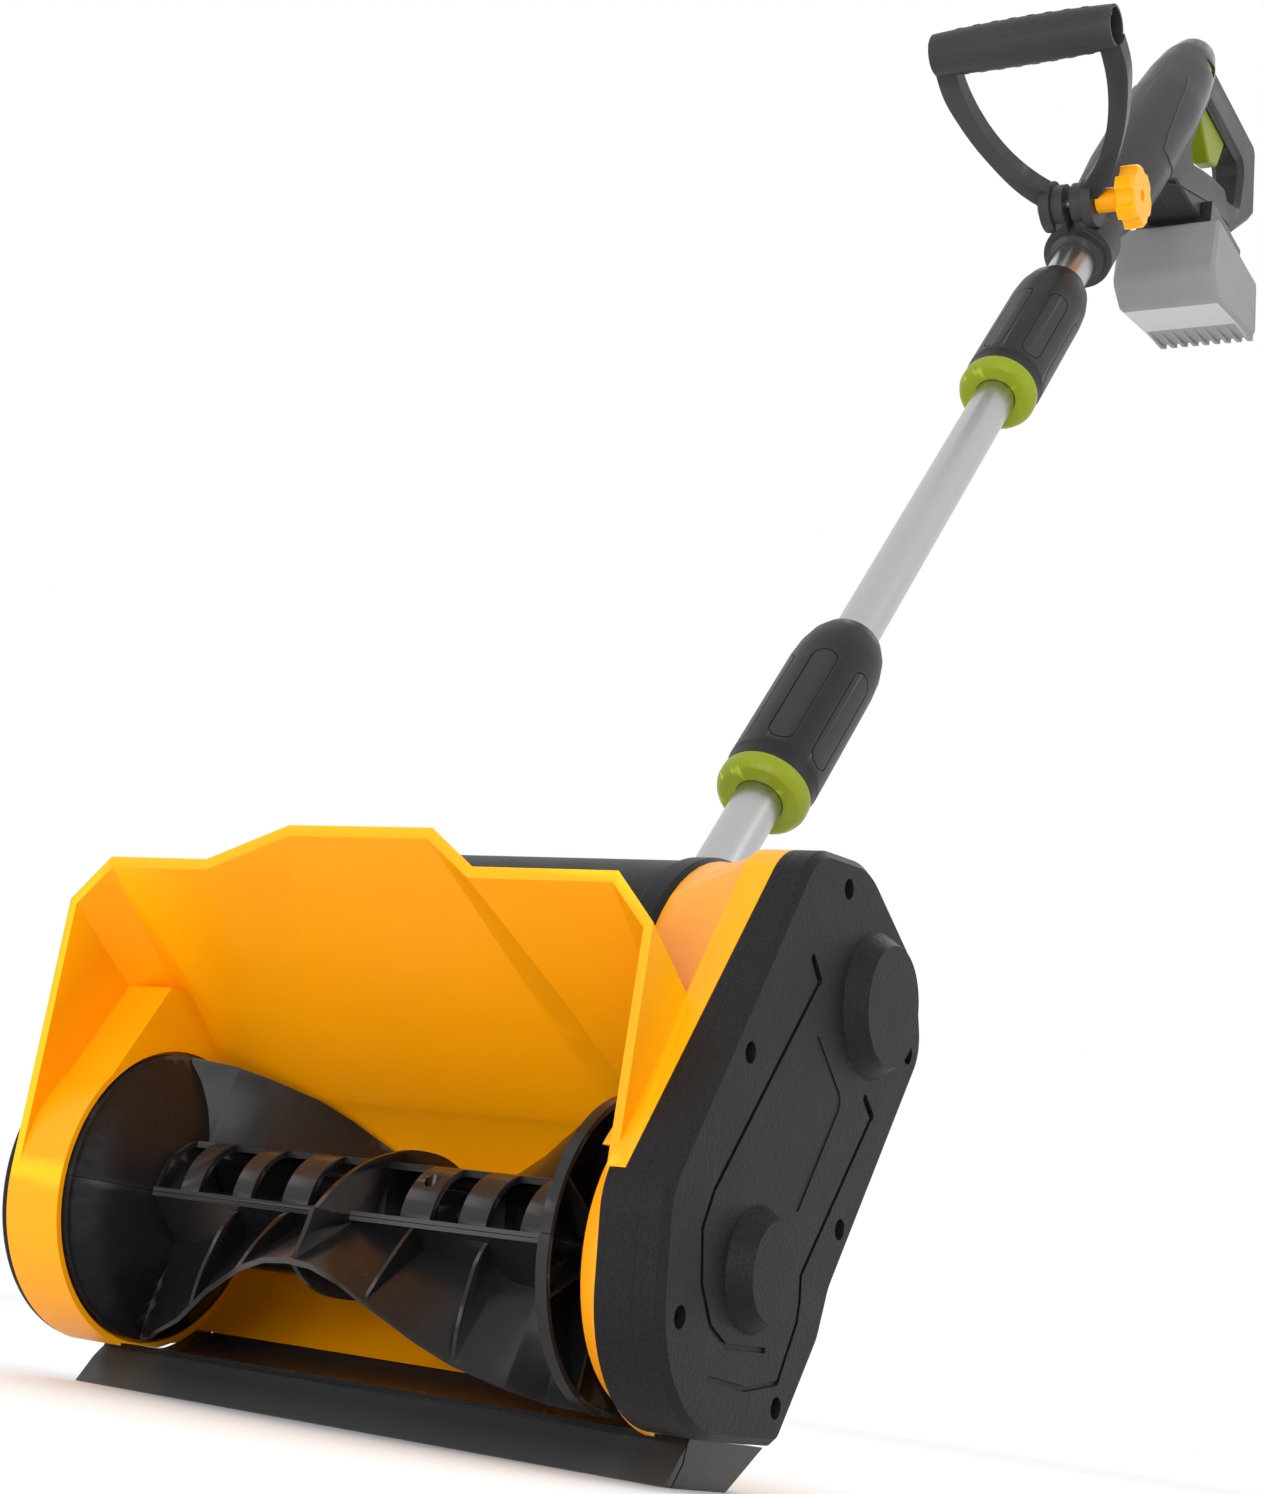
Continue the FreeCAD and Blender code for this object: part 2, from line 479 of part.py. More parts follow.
def motor():
    y, z = MOTOR_Y, MOTOR_Z
    can = cyl_x(y, z, CAN_R, CAN_X0, CAN_X1)
    can = can.cut(cyl_x(y, z, CAN_R - 2.0, CAN_X0 + 10, CAN_X1 - 10))
    can = can.cut(cyl_x(y, z, BEARING_R, CAN_X0 + 1.5, CAN_X0 + 11))
    can = can.cut(cyl_x(y, z, BEARING_R, CAN_X1 - 11, CAN_X1 - 1.5))
    can = can.cut(cyl_x(y, z, MOTOR_SHAFT_R + 1.5, CAN_X0 - 1, CAN_X1 + 1))
    for k in range(6):
        port = box(CAN_X0 + 12, CAN_X0 + 20, -4, 4, CAN_R - 5, CAN_R + 5)
        port.rotate(V(0, 0, 0), V(1, 0, 0), 60 * k)
        port.translate(V(0, y, z))
        can = can.cut(port)
    save("motor_can", can)
    seats = (CAN_X0 + 2.5, CAN_X1 - 9.5)
    save("motor_bearings", Part.Compound(
        [ring_x(y, z, MOTOR_SHAFT_R + FIT, BEARING_R, x, x + 7) for x in seats]))
    core = cyl_x(y, z, 25.0, CAN_X0 + 22, CAN_X1 - 22)
    slots = []
    for k in range(12):
        slot = box(CAN_X0 + 21, CAN_X1 - 21, -1.5, 1.5, 21, 27)
        slot.rotate(V(0, 0, 0), V(1, 0, 0), 30 * k)
        slot.translate(V(0, y, z))
        slots.append(slot)
    core = core.cut(Part.Compound(slots))
    ends = [cyl_x(y, z, 18, CAN_X0 + 13, CAN_X0 + 22), cyl_x(y, z, 18, CAN_X1 - 22, CAN_X1 - 13)]
    save("motor_armature", fuse([core] + ends).cut(cyl_x(y, z, MOTOR_SHAFT_R + 0.02, 0, 200)))
    save("motor_shaft", cyl_x(y, z, MOTOR_SHAFT_R, -26, PULLEY_X1 + 6.5))
    hub = cyl_x(y, z, 9, -22, -8)
    plate = cyl_x(y, z, 29, -10, -8)
    blades = []
    for k in range(9):
        blade = box(-21, -9, -0.9, 0.9, 8, 29)
        blade.rotate(V(0, 0, 0), V(1, 0, 0), 40 * k)
        blade.translate(V(0, y, z))
        blades.append(blade)
    save("cooling_fan", fuse([hub, plate] + blades).cut(cyl_x(y, z, MOTOR_SHAFT_R + 0.02, -30, 0)))


def motor_cover():
    """Rounded cover over the motor compartment, with a raised rim at its right end and vents at its left."""
    top = COVER_R
    profile = [(COVER_X0, 0), (COVER_X0, top - 10), (COVER_X0 + 3, top - 3), (COVER_X0 + 10, top),
               (COVER_X1 - 14, top), (COVER_X1 - 12, top + 1.6), (COVER_X1 - 3, top + 1.6),
               (COVER_X1 - GAP, top - 0.6), (COVER_X1 - GAP, 0)]
    wire = polygon([V(x, COVER_Y, COVER_Z + r) for x, r in profile])
    drum = Part.Face(wire).revolve(V(0, COVER_Y, COVER_Z), V(1, 0, 0), 360)
    drum = drum.cut(cyl_x(COVER_Y, COVER_Z, top - 3.2, COVER_X0 + 3, COVER_X1 - 4))
    drum = drum.common(box(-200, 200, -200, 200, COVER_Z + SPLIT_RISE + GAP, 400))
    for k in range(7):
        drum = drum.cut(box(COVER_X0 - 1, COVER_X0 + 4, COVER_Y - 33 + 10 * k, COVER_Y - 28 + 10 * k,
                            COVER_Z + 24, COVER_Z + 46))
    drum = drum.cut(pole_rod(SOCKET_R + GAP, TUBE_FOOT_S - 45, 200))
    save("motor_cover", max(drum.Solids, key=lambda solid: solid.Volume))


# ---------------------------------------------------------------- rotor
HUB_R, HUB_WALL, FLANGE_R, FLANGE_T = 26.3, 2.8, 28.0, 1.9
PADDLE_R, PADDLE_T = 63.3, 2.4
PADDLE_START = 20.0           # edge of the paddle in the middle of the rotor, degrees past the flange
# distance from the middle of the rotor, how far the paddle's edge has swept round (degrees), and the
# length of the sloping face between the flange and the foot of the paddle, measured upright
PADDLE_LINE = [(0, 0, 2.2), (12, 1, 3.7), (25, 5.5, 6.9), (33, 10, 8.7), (46, 17.5, 11.2), (57, 25.5, 13.4),
               (70, 35, 16.3), (90, 47, 18.9), (103, 58, 21.4), (119, 70, 21.8)]
HUB_BANDS = [(-106, -103), (-90, -80), (-61, -51), (-34, -20), (28, 43), (57, 70.5), (87, 97), (103, 106)]
WINDOW_EDGE = 103.0           # the hub is closed behind this angle
# x, height of the foot, and bulge of the webs behind the paddle
GUSSETS = [(-58.5, 4.0, 4.4), (-27.5, 1.0, 2.7), (36.5, 1.0, 0.9), (71.0, 4.0, 4.3)]
# free edge of the middle web over the hub, from the front paddle to the rear one: y and z from the axis
WEB_X, WEB_T = 3.0, 2.2
WEB_EDGE = [(-52.0, -1.5), (-44.6, 6.3), (-39.4, 11.3), (-31.8, 16.9), (-25.6, 20.8), (-15, 26), (-4.2, 29.7),
            (7.6, 32.7), (20.4, 33.9), (33.6, 33.6), (45, 31.0), (58.0, 23.9)]
# inner face of the dished end discs: distance from the middle, radius
DISH = [(103, 20), (105, 30), (109, 42), (114, 53), (119, 61)]
ROTOR_SCREWS = ((-12, 1), (35.5, -1))     # x, and side of the shaft
SCREW_OFFSET = 18.0


def around(x, radius, angle):
    """Point at a radius and an angle (degrees) about the rotor's axis, from +Y towards +Z."""
    turn = math.radians(angle)
    return V(x, ROTOR_Y + radius * math.cos(turn), ROTOR_Z + radius * math.sin(turn))


def from_axis(x, across, up):
    return V(x, ROTOR_Y + across, ROTOR_Z + up)


def about_axis(points):
    """Solid of revolution about the rotor's axis from (x, radius) points."""
    wire = polygon([V(x, ROTOR_Y, ROTOR_Z + r) for x, r in points])
    return Part.Face(wire).revolve(V(0, ROTOR_Y, ROTOR_Z), V(1, 0, 0), 360)


def paddle_at(x):
    """Foot of the paddle (on the sloping face) and angle of its tip, at a distance along the rotor."""
    reach = abs(x)
    k = max(i for i in range(len(PADDLE_LINE) - 1) if PADDLE_LINE[i][0] <= reach)
    a, b = PADDLE_LINE[k], PADDLE_LINE[k + 1]
    t = (reach - a[0]) / (b[0] - a[0])
    rise = a[2] + (b[2] - a[2]) * t
    return from_axis(x, FLANGE_R - rise, rise), PADDLE_START + a[1] + (b[1] - a[1]) * t


def paddle_section(x):
    """Sloping face and paddle as one bent strip."""
    foot, angle = paddle_at(x)
    lead = angle + math.degrees(PADDLE_T / PADDLE_R)
    inner = foot + V(0, -3.1, 0.2)
    return polygon([from_axis(x, FLANGE_R, GAP / 2), foot, around(x, PADDLE_R, angle), around(x, PADDLE_R, lead),
                    around(x, HUB_R - 0.3, lead + 3), around(x, HUB_R - HUB_WALL, lead + 4), inner,
                    from_axis(x, FLANGE_R - 3.2, GAP / 2)])


def behind_section(x):
    """Free space on the trailing side of the paddle."""
    foot, angle = paddle_at(x)
    return polygon([foot, around(x, PADDLE_R, angle), around(x, 90, angle), from_axis(x, 90, -6),
                    from_axis(x, FLANGE_R, -6), from_axis(x, FLANGE_R, 0)])


def gusset(x, start, bulge):
    """Thin web behind the paddle, from under the flange to the tip."""
    foot, angle = paddle_at(x)
    top = from_axis(x, FLANGE_R - start, start)
    tip = around(x, PADDLE_R - 0.4, angle + 0.8)
    line = tip - top
    out = V(0, line.z, -line.y).normalize()
    points = [top] + [top + line * t + out * bulge * share
                      for t, share in ((0.2, 0.9), (0.42, 1.0), (0.65, 0.88), (0.86, 0.45))] + [tip]
    curve = Part.BSplineCurve()
    curve.interpolate(points)
    inner = foot + V(0, -1.0, 0.2)
    wire = Part.Wire([curve.toShape(), Part.makeLine(tip, inner), Part.makeLine(inner, top)])
    web = Part.Face(wire).extrude(V(1.8, 0, 0))
    web.translate(V(-0.9, 0, 0))
    return web


def middle_web():
    """Web across the hub at the middle of the rotor, joining the two paddles."""
    curve = Part.BSplineCurve()
    curve.interpolate([from_axis(WEB_X - WEB_T / 2, a, b) for a, b in WEB_EDGE])
    start, end = curve.value(curve.FirstParameter), curve.value(curve.LastParameter)
    foot = paddle_at(WEB_X)[0]
    inner = V(start.x, foot.y - 1, foot.z + 1)
    low = V(start.x, ROTOR_Y - FLANGE_R, ROTOR_Z - 1.5)
    wire = Part.Wire([curve.toShape(), Part.makeLine(end, inner), Part.makeLine(inner, low),
                      Part.makeLine(low, start)])
    web = Part.Face(wire).extrude(V(WEB_T, 0, 0))
    corner = polygon([from_axis(start.x, 26, -2), from_axis(start.x, 51.9, -2), from_axis(start.x, 53.3, 4.7),
                      from_axis(start.x, 55, 10.7), from_axis(start.x, 57.5, 17), around(start.x, 62.6, 21),
                      V(start.x, foot.y, foot.z)])
    return web.fuse(Part.Face(corner).extrude(V(WEB_T, 0, 0)))


def end_disc(side):
    """Dished disc with a rim and radial ribs on its outer side."""
    shell = [(102.5, 0), (102.5, 19)] + DISH + [(119.5, DISC_R), (DISC_OUT, DISC_R), (DISC_OUT, 61), (122, 60),
                                                (117, 52), (112, 41.5), (108.2, 30), (106, 19), (106, 0)]
    parts = [about_axis([(side * x, r) for x, r in shell]),
             about_axis([(side * x, r) for x, r in ((105, 0), (105, 9), (118, 9), (118, 0))])]
    outline = [(105, 8), (116, 8), (123, 61.5), (120, 61.5), (113, 46), (107, 30)]
    for k in range(8):
        rib = Part.Face(polygon([V(side * x, -0.9, r) for x, r in outline])).extrude(V(0, 1.8, 0))
        rib.rotate(V(0, 0, 0), V(1, 0, 0), 22.5 + 45 * k)
        rib.translate(V(0, ROTOR_Y, ROTOR_Z))
        parts.append(rib)
    return parts


def rotor_half():
    """One of the two identical mouldings that are screwed together along the rotor's flat flange."""
    upper = box(-200, 200, -200, 200, ROTOR_Z + GAP / 2, 300)
    tube = ring_x(ROTOR_Y, ROTOR_Z, HUB_R - HUB_WALL, HUB_R, -106, 106)
    closed = tube.common(box(-110, 110, ROTOR_Y + HUB_R * math.cos(math.radians(WINDOW_EDGE)), 60, 0, 200))
    hub = [closed] + [ring_x(ROTOR_Y, ROTOR_Z, HUB_R - HUB_WALL, HUB_R, x0, x1) for x0, x1 in HUB_BANDS]
    hub += [ring_x(ROTOR_Y, ROTOR_Z, SHAFT_R, HUB_R - 1, x - 1.2, x + 1.2) for x in (-55, 64)]
    posts = [Part.makeCylinder(4.4, 26, from_axis(x, side * SCREW_OFFSET, 0))
             for x, _ in ROTOR_SCREWS for side in (-1, 1)]
    posts = Part.Compound(posts).common(cyl_x(ROTOR_Y, ROTOR_Z, HUB_R - 0.6, -110, 110))
    stations = [-d[0] for d in PADDLE_LINE[:0:-1]] + [d[0] for d in PADDLE_LINE]
    behind = loft([behind_section(x) for x in stations])
    hub = fuse(hub + posts.Solids).common(upper).cut(behind)
    within = about_axis([(-103.5, 0), (-103.5, 20)] + [(-x - 0.8, r) for x, r in DISH] + [(-120.3, 65), (120.3, 65)]
                        + [(x + 0.8, r) for x, r in DISH[::-1]] + [(103.5, 20), (103.5, 0)])
    blade = loft([paddle_section(x) for x in stations])
    webs = fuse([blade, middle_web()] + [gusset(*item) for item in GUSSETS]).common(within)
    discs = fuse(end_disc(-1) + end_disc(1)).common(upper)
    flange = [box(-104, 104, ROTOR_Y + y0, ROTOR_Y + y0 + FLANGE_R - HUB_R + HUB_WALL,
                  ROTOR_Z + GAP / 2, ROTOR_Z + FLANGE_T) for y0 in (-FLANGE_R, HUB_R - HUB_WALL)]
    body = fuse([hub, webs, discs] + flange).common(upper)
    body = body.cut(cyl_x(ROTOR_Y, ROTOR_Z, SHAFT_R + 0.02, -200, 200))
    for x, side in ROTOR_SCREWS:
        near, far = from_axis(x, side * SCREW_OFFSET, -1), from_axis(x, -side * SCREW_OFFSET, -1)
        body = body.cut(Part.makeCylinder(1.7, 40, near))
        body = body.cut(Part.makeCylinder(3.1, 30, near + V(0, 0, 9)))
        body = body.cut(Part.makeCylinder(1.5, 8, far))
    return max(body.Solids, key=lambda solid: solid.Volume)


def turned_over(shape):
    """Copy of a shape, half a turn about the rotor's axis."""
    shape = shape.copy()
    shape.rotate(V(0, ROTOR_Y, ROTOR_Z), V(1, 0, 0), 180)
    return shape


def rotor():
    half = rotor_half()
    save("rotor_upper_half", half)
    save("rotor_lower_half", turned_over(half))
    screws = []
    for x, side in ROTOR_SCREWS:
        shank = Part.makeCylinder(1.48, 15.5, from_axis(x, side * SCREW_OFFSET, -6.5))
        head = Part.makeCylinder(2.8, 2.2, from_axis(x, side * SCREW_OFFSET, 8.1))
        slot = box(x - 2.2, x + 2.2, -0.45, 0.45, ROTOR_Z + 9.4, ROTOR_Z + 12)
        slot.translate(V(0, ROTOR_Y + side * SCREW_OFFSET, 0))
        screw = shank.fuse(head).cut(slot).removeSplitter()
        screws += [screw, turned_over(screw)]
    save("rotor_screws", Part.Compound(screws))
    save("rotor_shaft", cyl_x(ROTOR_Y, ROTOR_Z, SHAFT_R, -SIDE_OUT + 3, PULLEY_X1 + 6.5))


# ---------------------------------------------------------------- pole
def shaft_socket():
    """Socket at the back of the head; the pole's foot stands in it."""
    socket = pole_revolve([(0, -72), (SOCKET_R - 3, -72), (SOCKET_R, -69), (SOCKET_R, 58), (SOCKET_R - 4, 66),
                           (TUBE_R + FIT, 66), (TUBE_R + FIT, TUBE_FOOT_S - 0.2), (0, TUBE_FOOT_S - 0.2)])
    bolts = []
    for s, n in SOCKET_BOLTS:
        socket = socket.cut(across_pole(s, n, 3.05, -60, 60))
        heads = [across_pole(s, n, 5.2, 35.9, 39.9), across_pole(s, n, 5.2, -39.9, -35.9)]
        bolts.append(fuse([across_pole(s, n, 3.0, -37, 37)] + heads))
    save("shaft_socket", socket)
    save("socket_bolts", Part.Compound(bolts))


OUTLINE_START, OUTLINE_END, OUTLINE_WIDTH = 14.0, 98.0, 16.0


def sleeve_profile(s0, s1, inner):
    """Rubbery sleeve: small step at the ring, a dome round the tube at the top."""
    outside = [(25.5, s0), (26.5, s0 + 2), (26.5, s0 + 8), (SLEEVE_R, s0 + 10), (SLEEVE_R, s1 - 38),
               (26.5, s1 - 25), (24.0, s1 - 13), (20.0, s1 - 4), (inner + 1.0, s1)]
    return outside + [(inner, s1), (inner, s1 - 34), (23.6, s1 - 34), (23.6, s0)]


def collet(bore, s0, s1):
    """Slotted clamping sleeve between the tube and the outer sleeve."""
    body = pole_revolve([(bore, s0), (20.0, s0), (23.3, s0 + 8), (23.3, s1), (bore, s1)])
    for angle in (0, 90):
        cut = box(-30, 30, -0.8, 0.8, -1, 28)
        cut.rotate(V(0, 0, 0), V(0, 0, 1), angle)
        cut.translate(V(0, 0, s0))
        body = body.cut(on_pole(Part.Compound([cut])))
    return body


def lock_ring(s0):
    """Smooth flared twist ring."""
    top = s0 + RING_LENGTH - 1
    return pole_revolve([(TUBE_R + GAP, s0 + 1), (20.0, s0), (23.5, s0 + 0.8), (25.8, s0 + 2.8), (27.1, s0 + 6),
                         (27.1, top - 1), (26.0, top), (TUBE_R + GAP, top)])


def sleeve_outlines(s0, turn):
    """Fine outlines sunk into a sleeve: long rounded shapes spaced evenly round it."""
    middle = s0 + (OUTLINE_START + OUTLINE_END) / 2
    half = (OUTLINE_END - OUTLINE_START - OUTLINE_WIDTH) / 2
    shapes = []
    for k in range(6):
        loops = []
        for width in (OUTLINE_WIDTH, OUTLINE_WIDTH - 1.6):
            loop = box(20, 32, -width / 2, width / 2, middle - half, middle + half)
            for end in (middle - half, middle + half):
                loop = loop.fuse(Part.makeCylinder(width / 2, 12, V(20, 0, end), V(1, 0, 0)))
            loops.append(loop)
        shape = loops[0].cut(loops[1])
        shape.rotate(V(0, 0, 0), V(0, 0, 1), turn + 60 * k)
        shapes.append(shape)
    return on_pole(Part.Compound(shapes)).common(pole_ring(SLEEVE_R - 0.6, SLEEVE_R + 3, s0, s0 + SLEEVE_LENGTH))


def pole():
    save("lower_tube", pole_ring(TUBE_BORE, TUBE_R, TUBE_FOOT_S, MIDDLE_FOOT_S - 0.1))
    save("middle_tube", pole_ring(TUBE_BORE, TUBE_R, MIDDLE_FOOT_S, MIDDLE_TOP_S))
    save("upper_tube", pole_ring(UPPER_BORE, UPPER_R, UPPER_FOOT_S, UPPER_TOP_S))
    save("lower_lock_ring", lock_ring(LOWER_S))
    save("upper_lock_ring", lock_ring(UPPER_S))
    low, high = LOWER_S + RING_LENGTH - 0.7, UPPER_S + RING_LENGTH - 0.7
    lower = pole_revolve(sleeve_profile(low, low + SLEEVE_LENGTH - 6, TUBE_R + FIT))
    upper = pole_revolve(sleeve_profile(high, high + SLEEVE_LENGTH + 2, UPPER_R + 0.02))
    save("lower_sleeve", lower.cut(sleeve_outlines(low, -10)))
    save("upper_sleeve", upper.cut(sleeve_outlines(high, 20)))
    save("lower_collet", collet(TUBE_R + 0.02, low + 2, low + SLEEVE_LENGTH - 44))
    save("upper_collet", collet(TUBE_R + FIT, high + 2, UPPER_FOOT_S - 0.5))


# ---------------------------------------------------------------- rear handle
BARREL = [(NECK_R, NECK_S), (NECK_R, 905), (24, 920), (29, 945), (BARREL_R, 985), (BARREL_R, 1100),
          (30.5, 1110), (28.3, 1153), (25, 1185), (19, 1211), (10, 1225), (4, BARREL_END_S)]
BODY_HALF, GRIP_R, SHELL = 22.0, 14.5, 3.0
# side views: y, z and corner radius
BODY_SIDE = [(700, 992, 0), (767, 1031, 6), (FOOT_Y0, 1031, 0), (FOOT_Y1 + 6, 1046, 2), (FOOT_Y1 + 8, 1056, 4),
             (893, 1092, 12), (846, 1082, 20), (803, 1066, 8), (796, 1080, 8), (822, 1125, 10), (838, 1154, 6),
             (833, 1166, 3), (815, 1170, 0), (690, 1000, 0)]
LOOP_SIDE = [(775, 1100, 8), (846, 1191, 12), (992, 1191, 14), (1004, 1126, 9), (958, 1088, 14),
             (918, 1048, 6), (775, 1048, 6)]
LOOP_HOLE = [(798, 1080, 7), (806, 1067, 6), (900, 1096, 20), (956, 1112, 12), (960, 1154, 10),
             (838, 1154, 6), (818, 1118, 12)]
HANDLE_SCREWS = [(757, 1072), (808, 1143), (872, 1064), (985, 1140), (944, 1172)]
TRIGGER_SIDE = [(843, 1164, 3), (918, 1164, 3), (922, 1153, 5), (908, 1124, 7), (886, 1117, 8), (846, 1146, 6)]
TRIGGER_PIVOT = (849.0, 1160.0)
TRIGGER_HALF = 7.5
BUTTON_Y, BUTTON_Z = 818.0, 1163.0


def flat(corners, grow=0.0):
    """Face in the plane X = 0 over a side view, grown or shrunk."""
    face = Part.Face(rounded_wire(corners, lambda a, b: V(0, a, b)))
    if grow:
        face = Part.Face(face.OuterWire.makeOffset2D(grow))
    return face


def slab(face, half):
    """Prism over a side view, the same on both sides of X = 0."""
    solid = face.extrude(V(2 * half, 0, 0))
    solid.translate(V(-half, 0, 0))
    return solid


def softened(shape, half, size):
    """Chamfer the edges that lie on the side faces."""
    edges = [e for e in shape.Edges if abs(e.BoundBox.XLength) < 0.01 and abs(abs(e.CenterOfMass.x) - half) < 0.01]
    return shape.makeChamfer(size, edges)


def handle_shells():
    hole = flat(LOOP_HOLE)
    loop = softened(slab(flat(LOOP_SIDE).cut(hole), GRIP_R), GRIP_R, 5.0)
    body = softened(slab(flat(BODY_SIDE), BODY_HALF), BODY_HALF, 1.5)
    barrel = pole_revolve([(0, NECK_S)] + BARREL + [(0, BARREL_END_S)])
    outside = barrel.fuse([loop, body]).cut(slab(hole, 40))
    inner_loop = slab(flat(LOOP_SIDE, -SHELL).cut(flat(LOOP_HOLE, SHELL)), GRIP_R - SHELL)
    inner_body = slab(flat(BODY_SIDE, -SHELL), BODY_HALF - SHELL)
    inner_barrel = pole_revolve([(0, UPPER_TOP_S + 4)] + [(r - SHELL, s) for r, s in BARREL if 985 < s < 1220]
                                + [(0, 1222)])
    pocket = pole_revolve([(UPPER_R + 3, 932), (26, 952), (28, 985), (28, UPPER_TOP_S + 5), (UPPER_R + 3, UPPER_TOP_S + 5)])
    tube_way = pole_rod(UPPER_R + 0.02, NECK_S - 5, UPPER_TOP_S + 4.5)
    keep = pole_rod(UPPER_R + 3, 920, UPPER_TOP_S + 1).cut(tube_way)
    inside = inner_loop.fuse([inner_body, inner_barrel, pocket])
    inside = inside.cut(slab(flat(LOOP_HOLE, SHELL), 40)).cut(keep)
    shell = outside.cut(inside).cut(tube_way)
    # slot of the trigger, hole of the lock-off button, posts of the screws
    slot = box(-TRIGGER_HALF - 0.6, TRIGGER_HALF + 0.6, 840, 926, 1148, 1157)
    shell = shell.cut(slot)
    shell = shell.cut(box(-40, 40, FOOT_Y0 - 0.1, FOOT_Y1 + 20, 990, FOOT_Z + 12.1))
    for y, z in HANDLE_SCREWS:
        post = cyl_x(y, z, 4.6, -GRIP_R + 1, GRIP_R - 1)
        shell = shell.fuse(post)
    for side in (-1, 1):
        x0 = side * (TRIGGER_HALF + 0.4)
        x1 = side * (GRIP_R - SHELL + 0.5)
        shell = shell.fuse(cyl_x(*TRIGGER_PIVOT, 3.4, min(x0, x1), max(x0, x1)))
    shell = shell.cut(cyl_x(*TRIGGER_PIVOT, 1.52, -11.1, 11.1))
    button_hole = box(0, 40, BUTTON_Y - 8.4, BUTTON_Y + 8.4, BUTTON_Z - 5.9, BUTTON_Z + 5.9)
    shell = shell.cut(button_hole)
    screws = []
    for y, z in HANDLE_SCREWS:
        shell = shell.cut(cyl_x(y, z, 1.7, -40, 10)).cut(cyl_x(y, z, 3.6, -40, -6))
        screws.append(cyl_x(y, z, 1.5, -9, 9.5).fuse(cyl_x(y, z, 3.1, -9.5, -6.2)).removeSplitter())
    save("handle_screws", Part.Compound(screws))
    for name, x0, x1 in (("rear_handle_left", -60, -0.08), ("rear_handle_right", 0.08, 60)):
        half = shell.common(box(x0, x1, 600, 1100, 850, 1250))
        save(name, max(half.Solids, key=lambda solid: solid.Volume))


def handle_inside():
    """Switch, control board and terminals held by the rear handle."""
    switch = box(-9, 9, 872, 902, 1174.5, 1187).fuse(box(-3, 3, 876, 890, 1173.5, 1175))
    save("switch_module", switch.removeSplitter())
    board = box(-15, 15, 6, 7.6, 1030, 1135)
    for x0, x1, s0, s1, tall in ((-12, -2, 1040, 1052, 9), (2, 12, 1042, 1050, 6), (-12, 12, 1066, 1088, 5),
                                 (-13, -5, 1098, 1108, 7), (4, 12, 1100, 1122, 4)):
        board = board.fuse(box(x0, x1, 7, 7.6 + tall, s0, s1))
    save("control_board", on_pole(board.removeSplitter()))


def battery_foot():
    """Glossy foot that the battery slides onto from behind: a plate, two rails and a front stop."""
    top, low = FOOT_Z + 20, FOOT_Z
    plate = box(-FOOT_HALF, FOOT_HALF, FOOT_Y0, FOOT_Y1, FOOT_Z + 9.4, top)
    plate = plate.cut(slab(flat(BODY_SIDE, 0.1), BODY_HALF + 0.1).cut(box(-40, 40, 600, 1000, 900, FOOT_Z + 12)))
    parts = [plate]
    for side in (-1, 1):
        rail = box(min(side * 24.4, side * FOOT_HALF), max(side * 24.4, side * FOOT_HALF), FOOT_Y0, FOOT_Y1, low, top - 8)
        lip = box(min(side * 20.6, side * 25), max(side * 20.6, side * 25), FOOT_Y0, FOOT_Y1, low, low + 3)
        parts += [rail, lip]
    parts.append(box(-FOOT_HALF, FOOT_HALF, FOOT_Y0, FOOT_Y0 + 5, low, top - 8))
    foot = fuse(parts)
    for x0 in (-7.6, 3.6):
        foot = foot.cut(box(x0, x0 + 4, FOOT_Y0 + 12, FOOT_Y0 + 16, FOOT_Z + 8, FOOT_Z + 14))
    save("battery_foot", max(foot.Solids, key=lambda solid: solid.Volume))
    block = []
    for x0 in (-6.3, 4.9):
        block.append(box(x0, x0 + 1.4, FOOT_Y0 + 13.2, FOOT_Y0 + 14.8, FOOT_Z + 4, FOOT_Z + 11.8))
        block.append(box(x0, x0 + 1.4, FOOT_Y0 + 13.2, FOOT_Y0 + 34, FOOT_Z + 2, FOOT_Z + 8.8))
    save("battery_terminals", Part.Compound([fuse(block[:2]), fuse(block[2:])]))


def controls():
    trigger = slab(flat(TRIGGER_SIDE), TRIGGER_HALF)
    trigger = softened(trigger, TRIGGER_HALF, 1.5)
    save("trigger", trigger.cut(cyl_x(*TRIGGER_PIVOT, 1.5 + FIT, -20, 20)))
    save("trigger_pin", cyl_x(*TRIGGER_PIVOT, 1.5, -11.0, 11.0))
    stem = box(12, 23.5, BUTTON_Y - 8, BUTTON_Y + 8, BUTTON_Z - 5.5, BUTTON_Z + 5.5)
    edges = [e for e in stem.Edges if e.CenterOfMass.x > 23]
    save("lockoff_button", stem.makeChamfer(2.0, edges))


# ---------------------------------------------------------------- D-handle
EAR_IN, EAR_OUT = 3.0, 11.6
HUB_IN, HUB_OUT, HUB_DISC_R = 12.0, 20.0, 18.8
BOLT_R = 4.0
ARM_OUTER = [(20, 4), (38, 24), (48, 42), (59, 67), (65, 86), (69, 104), (69.5, 120), (68, 150)]
ARM_INNER = [(54, 150), (54, 120), (53.5, 105), (51, 88), (44.5, 65), (34, 43), (24, 29), (12.5, 17)]
ARM_THICK = 14.0


def on_pivot(shape):
    """Place a shape built about the D-handle's pivot: local Z points at the grip."""
    shape = shape.copy()
    middle = pole_point(PIVOT_S, PIVOT_N)
    shape.Placement = FreeCAD.Placement(middle, FreeCAD.Rotation(V(1, 0, 0), 90 - GRIP_TILT))
    return shape


def smooth_edge(points):
    curve = Part.BSplineCurve()
    curve.interpolate([V(u, 0, w) for u, w in points])
    return curve.toShape()


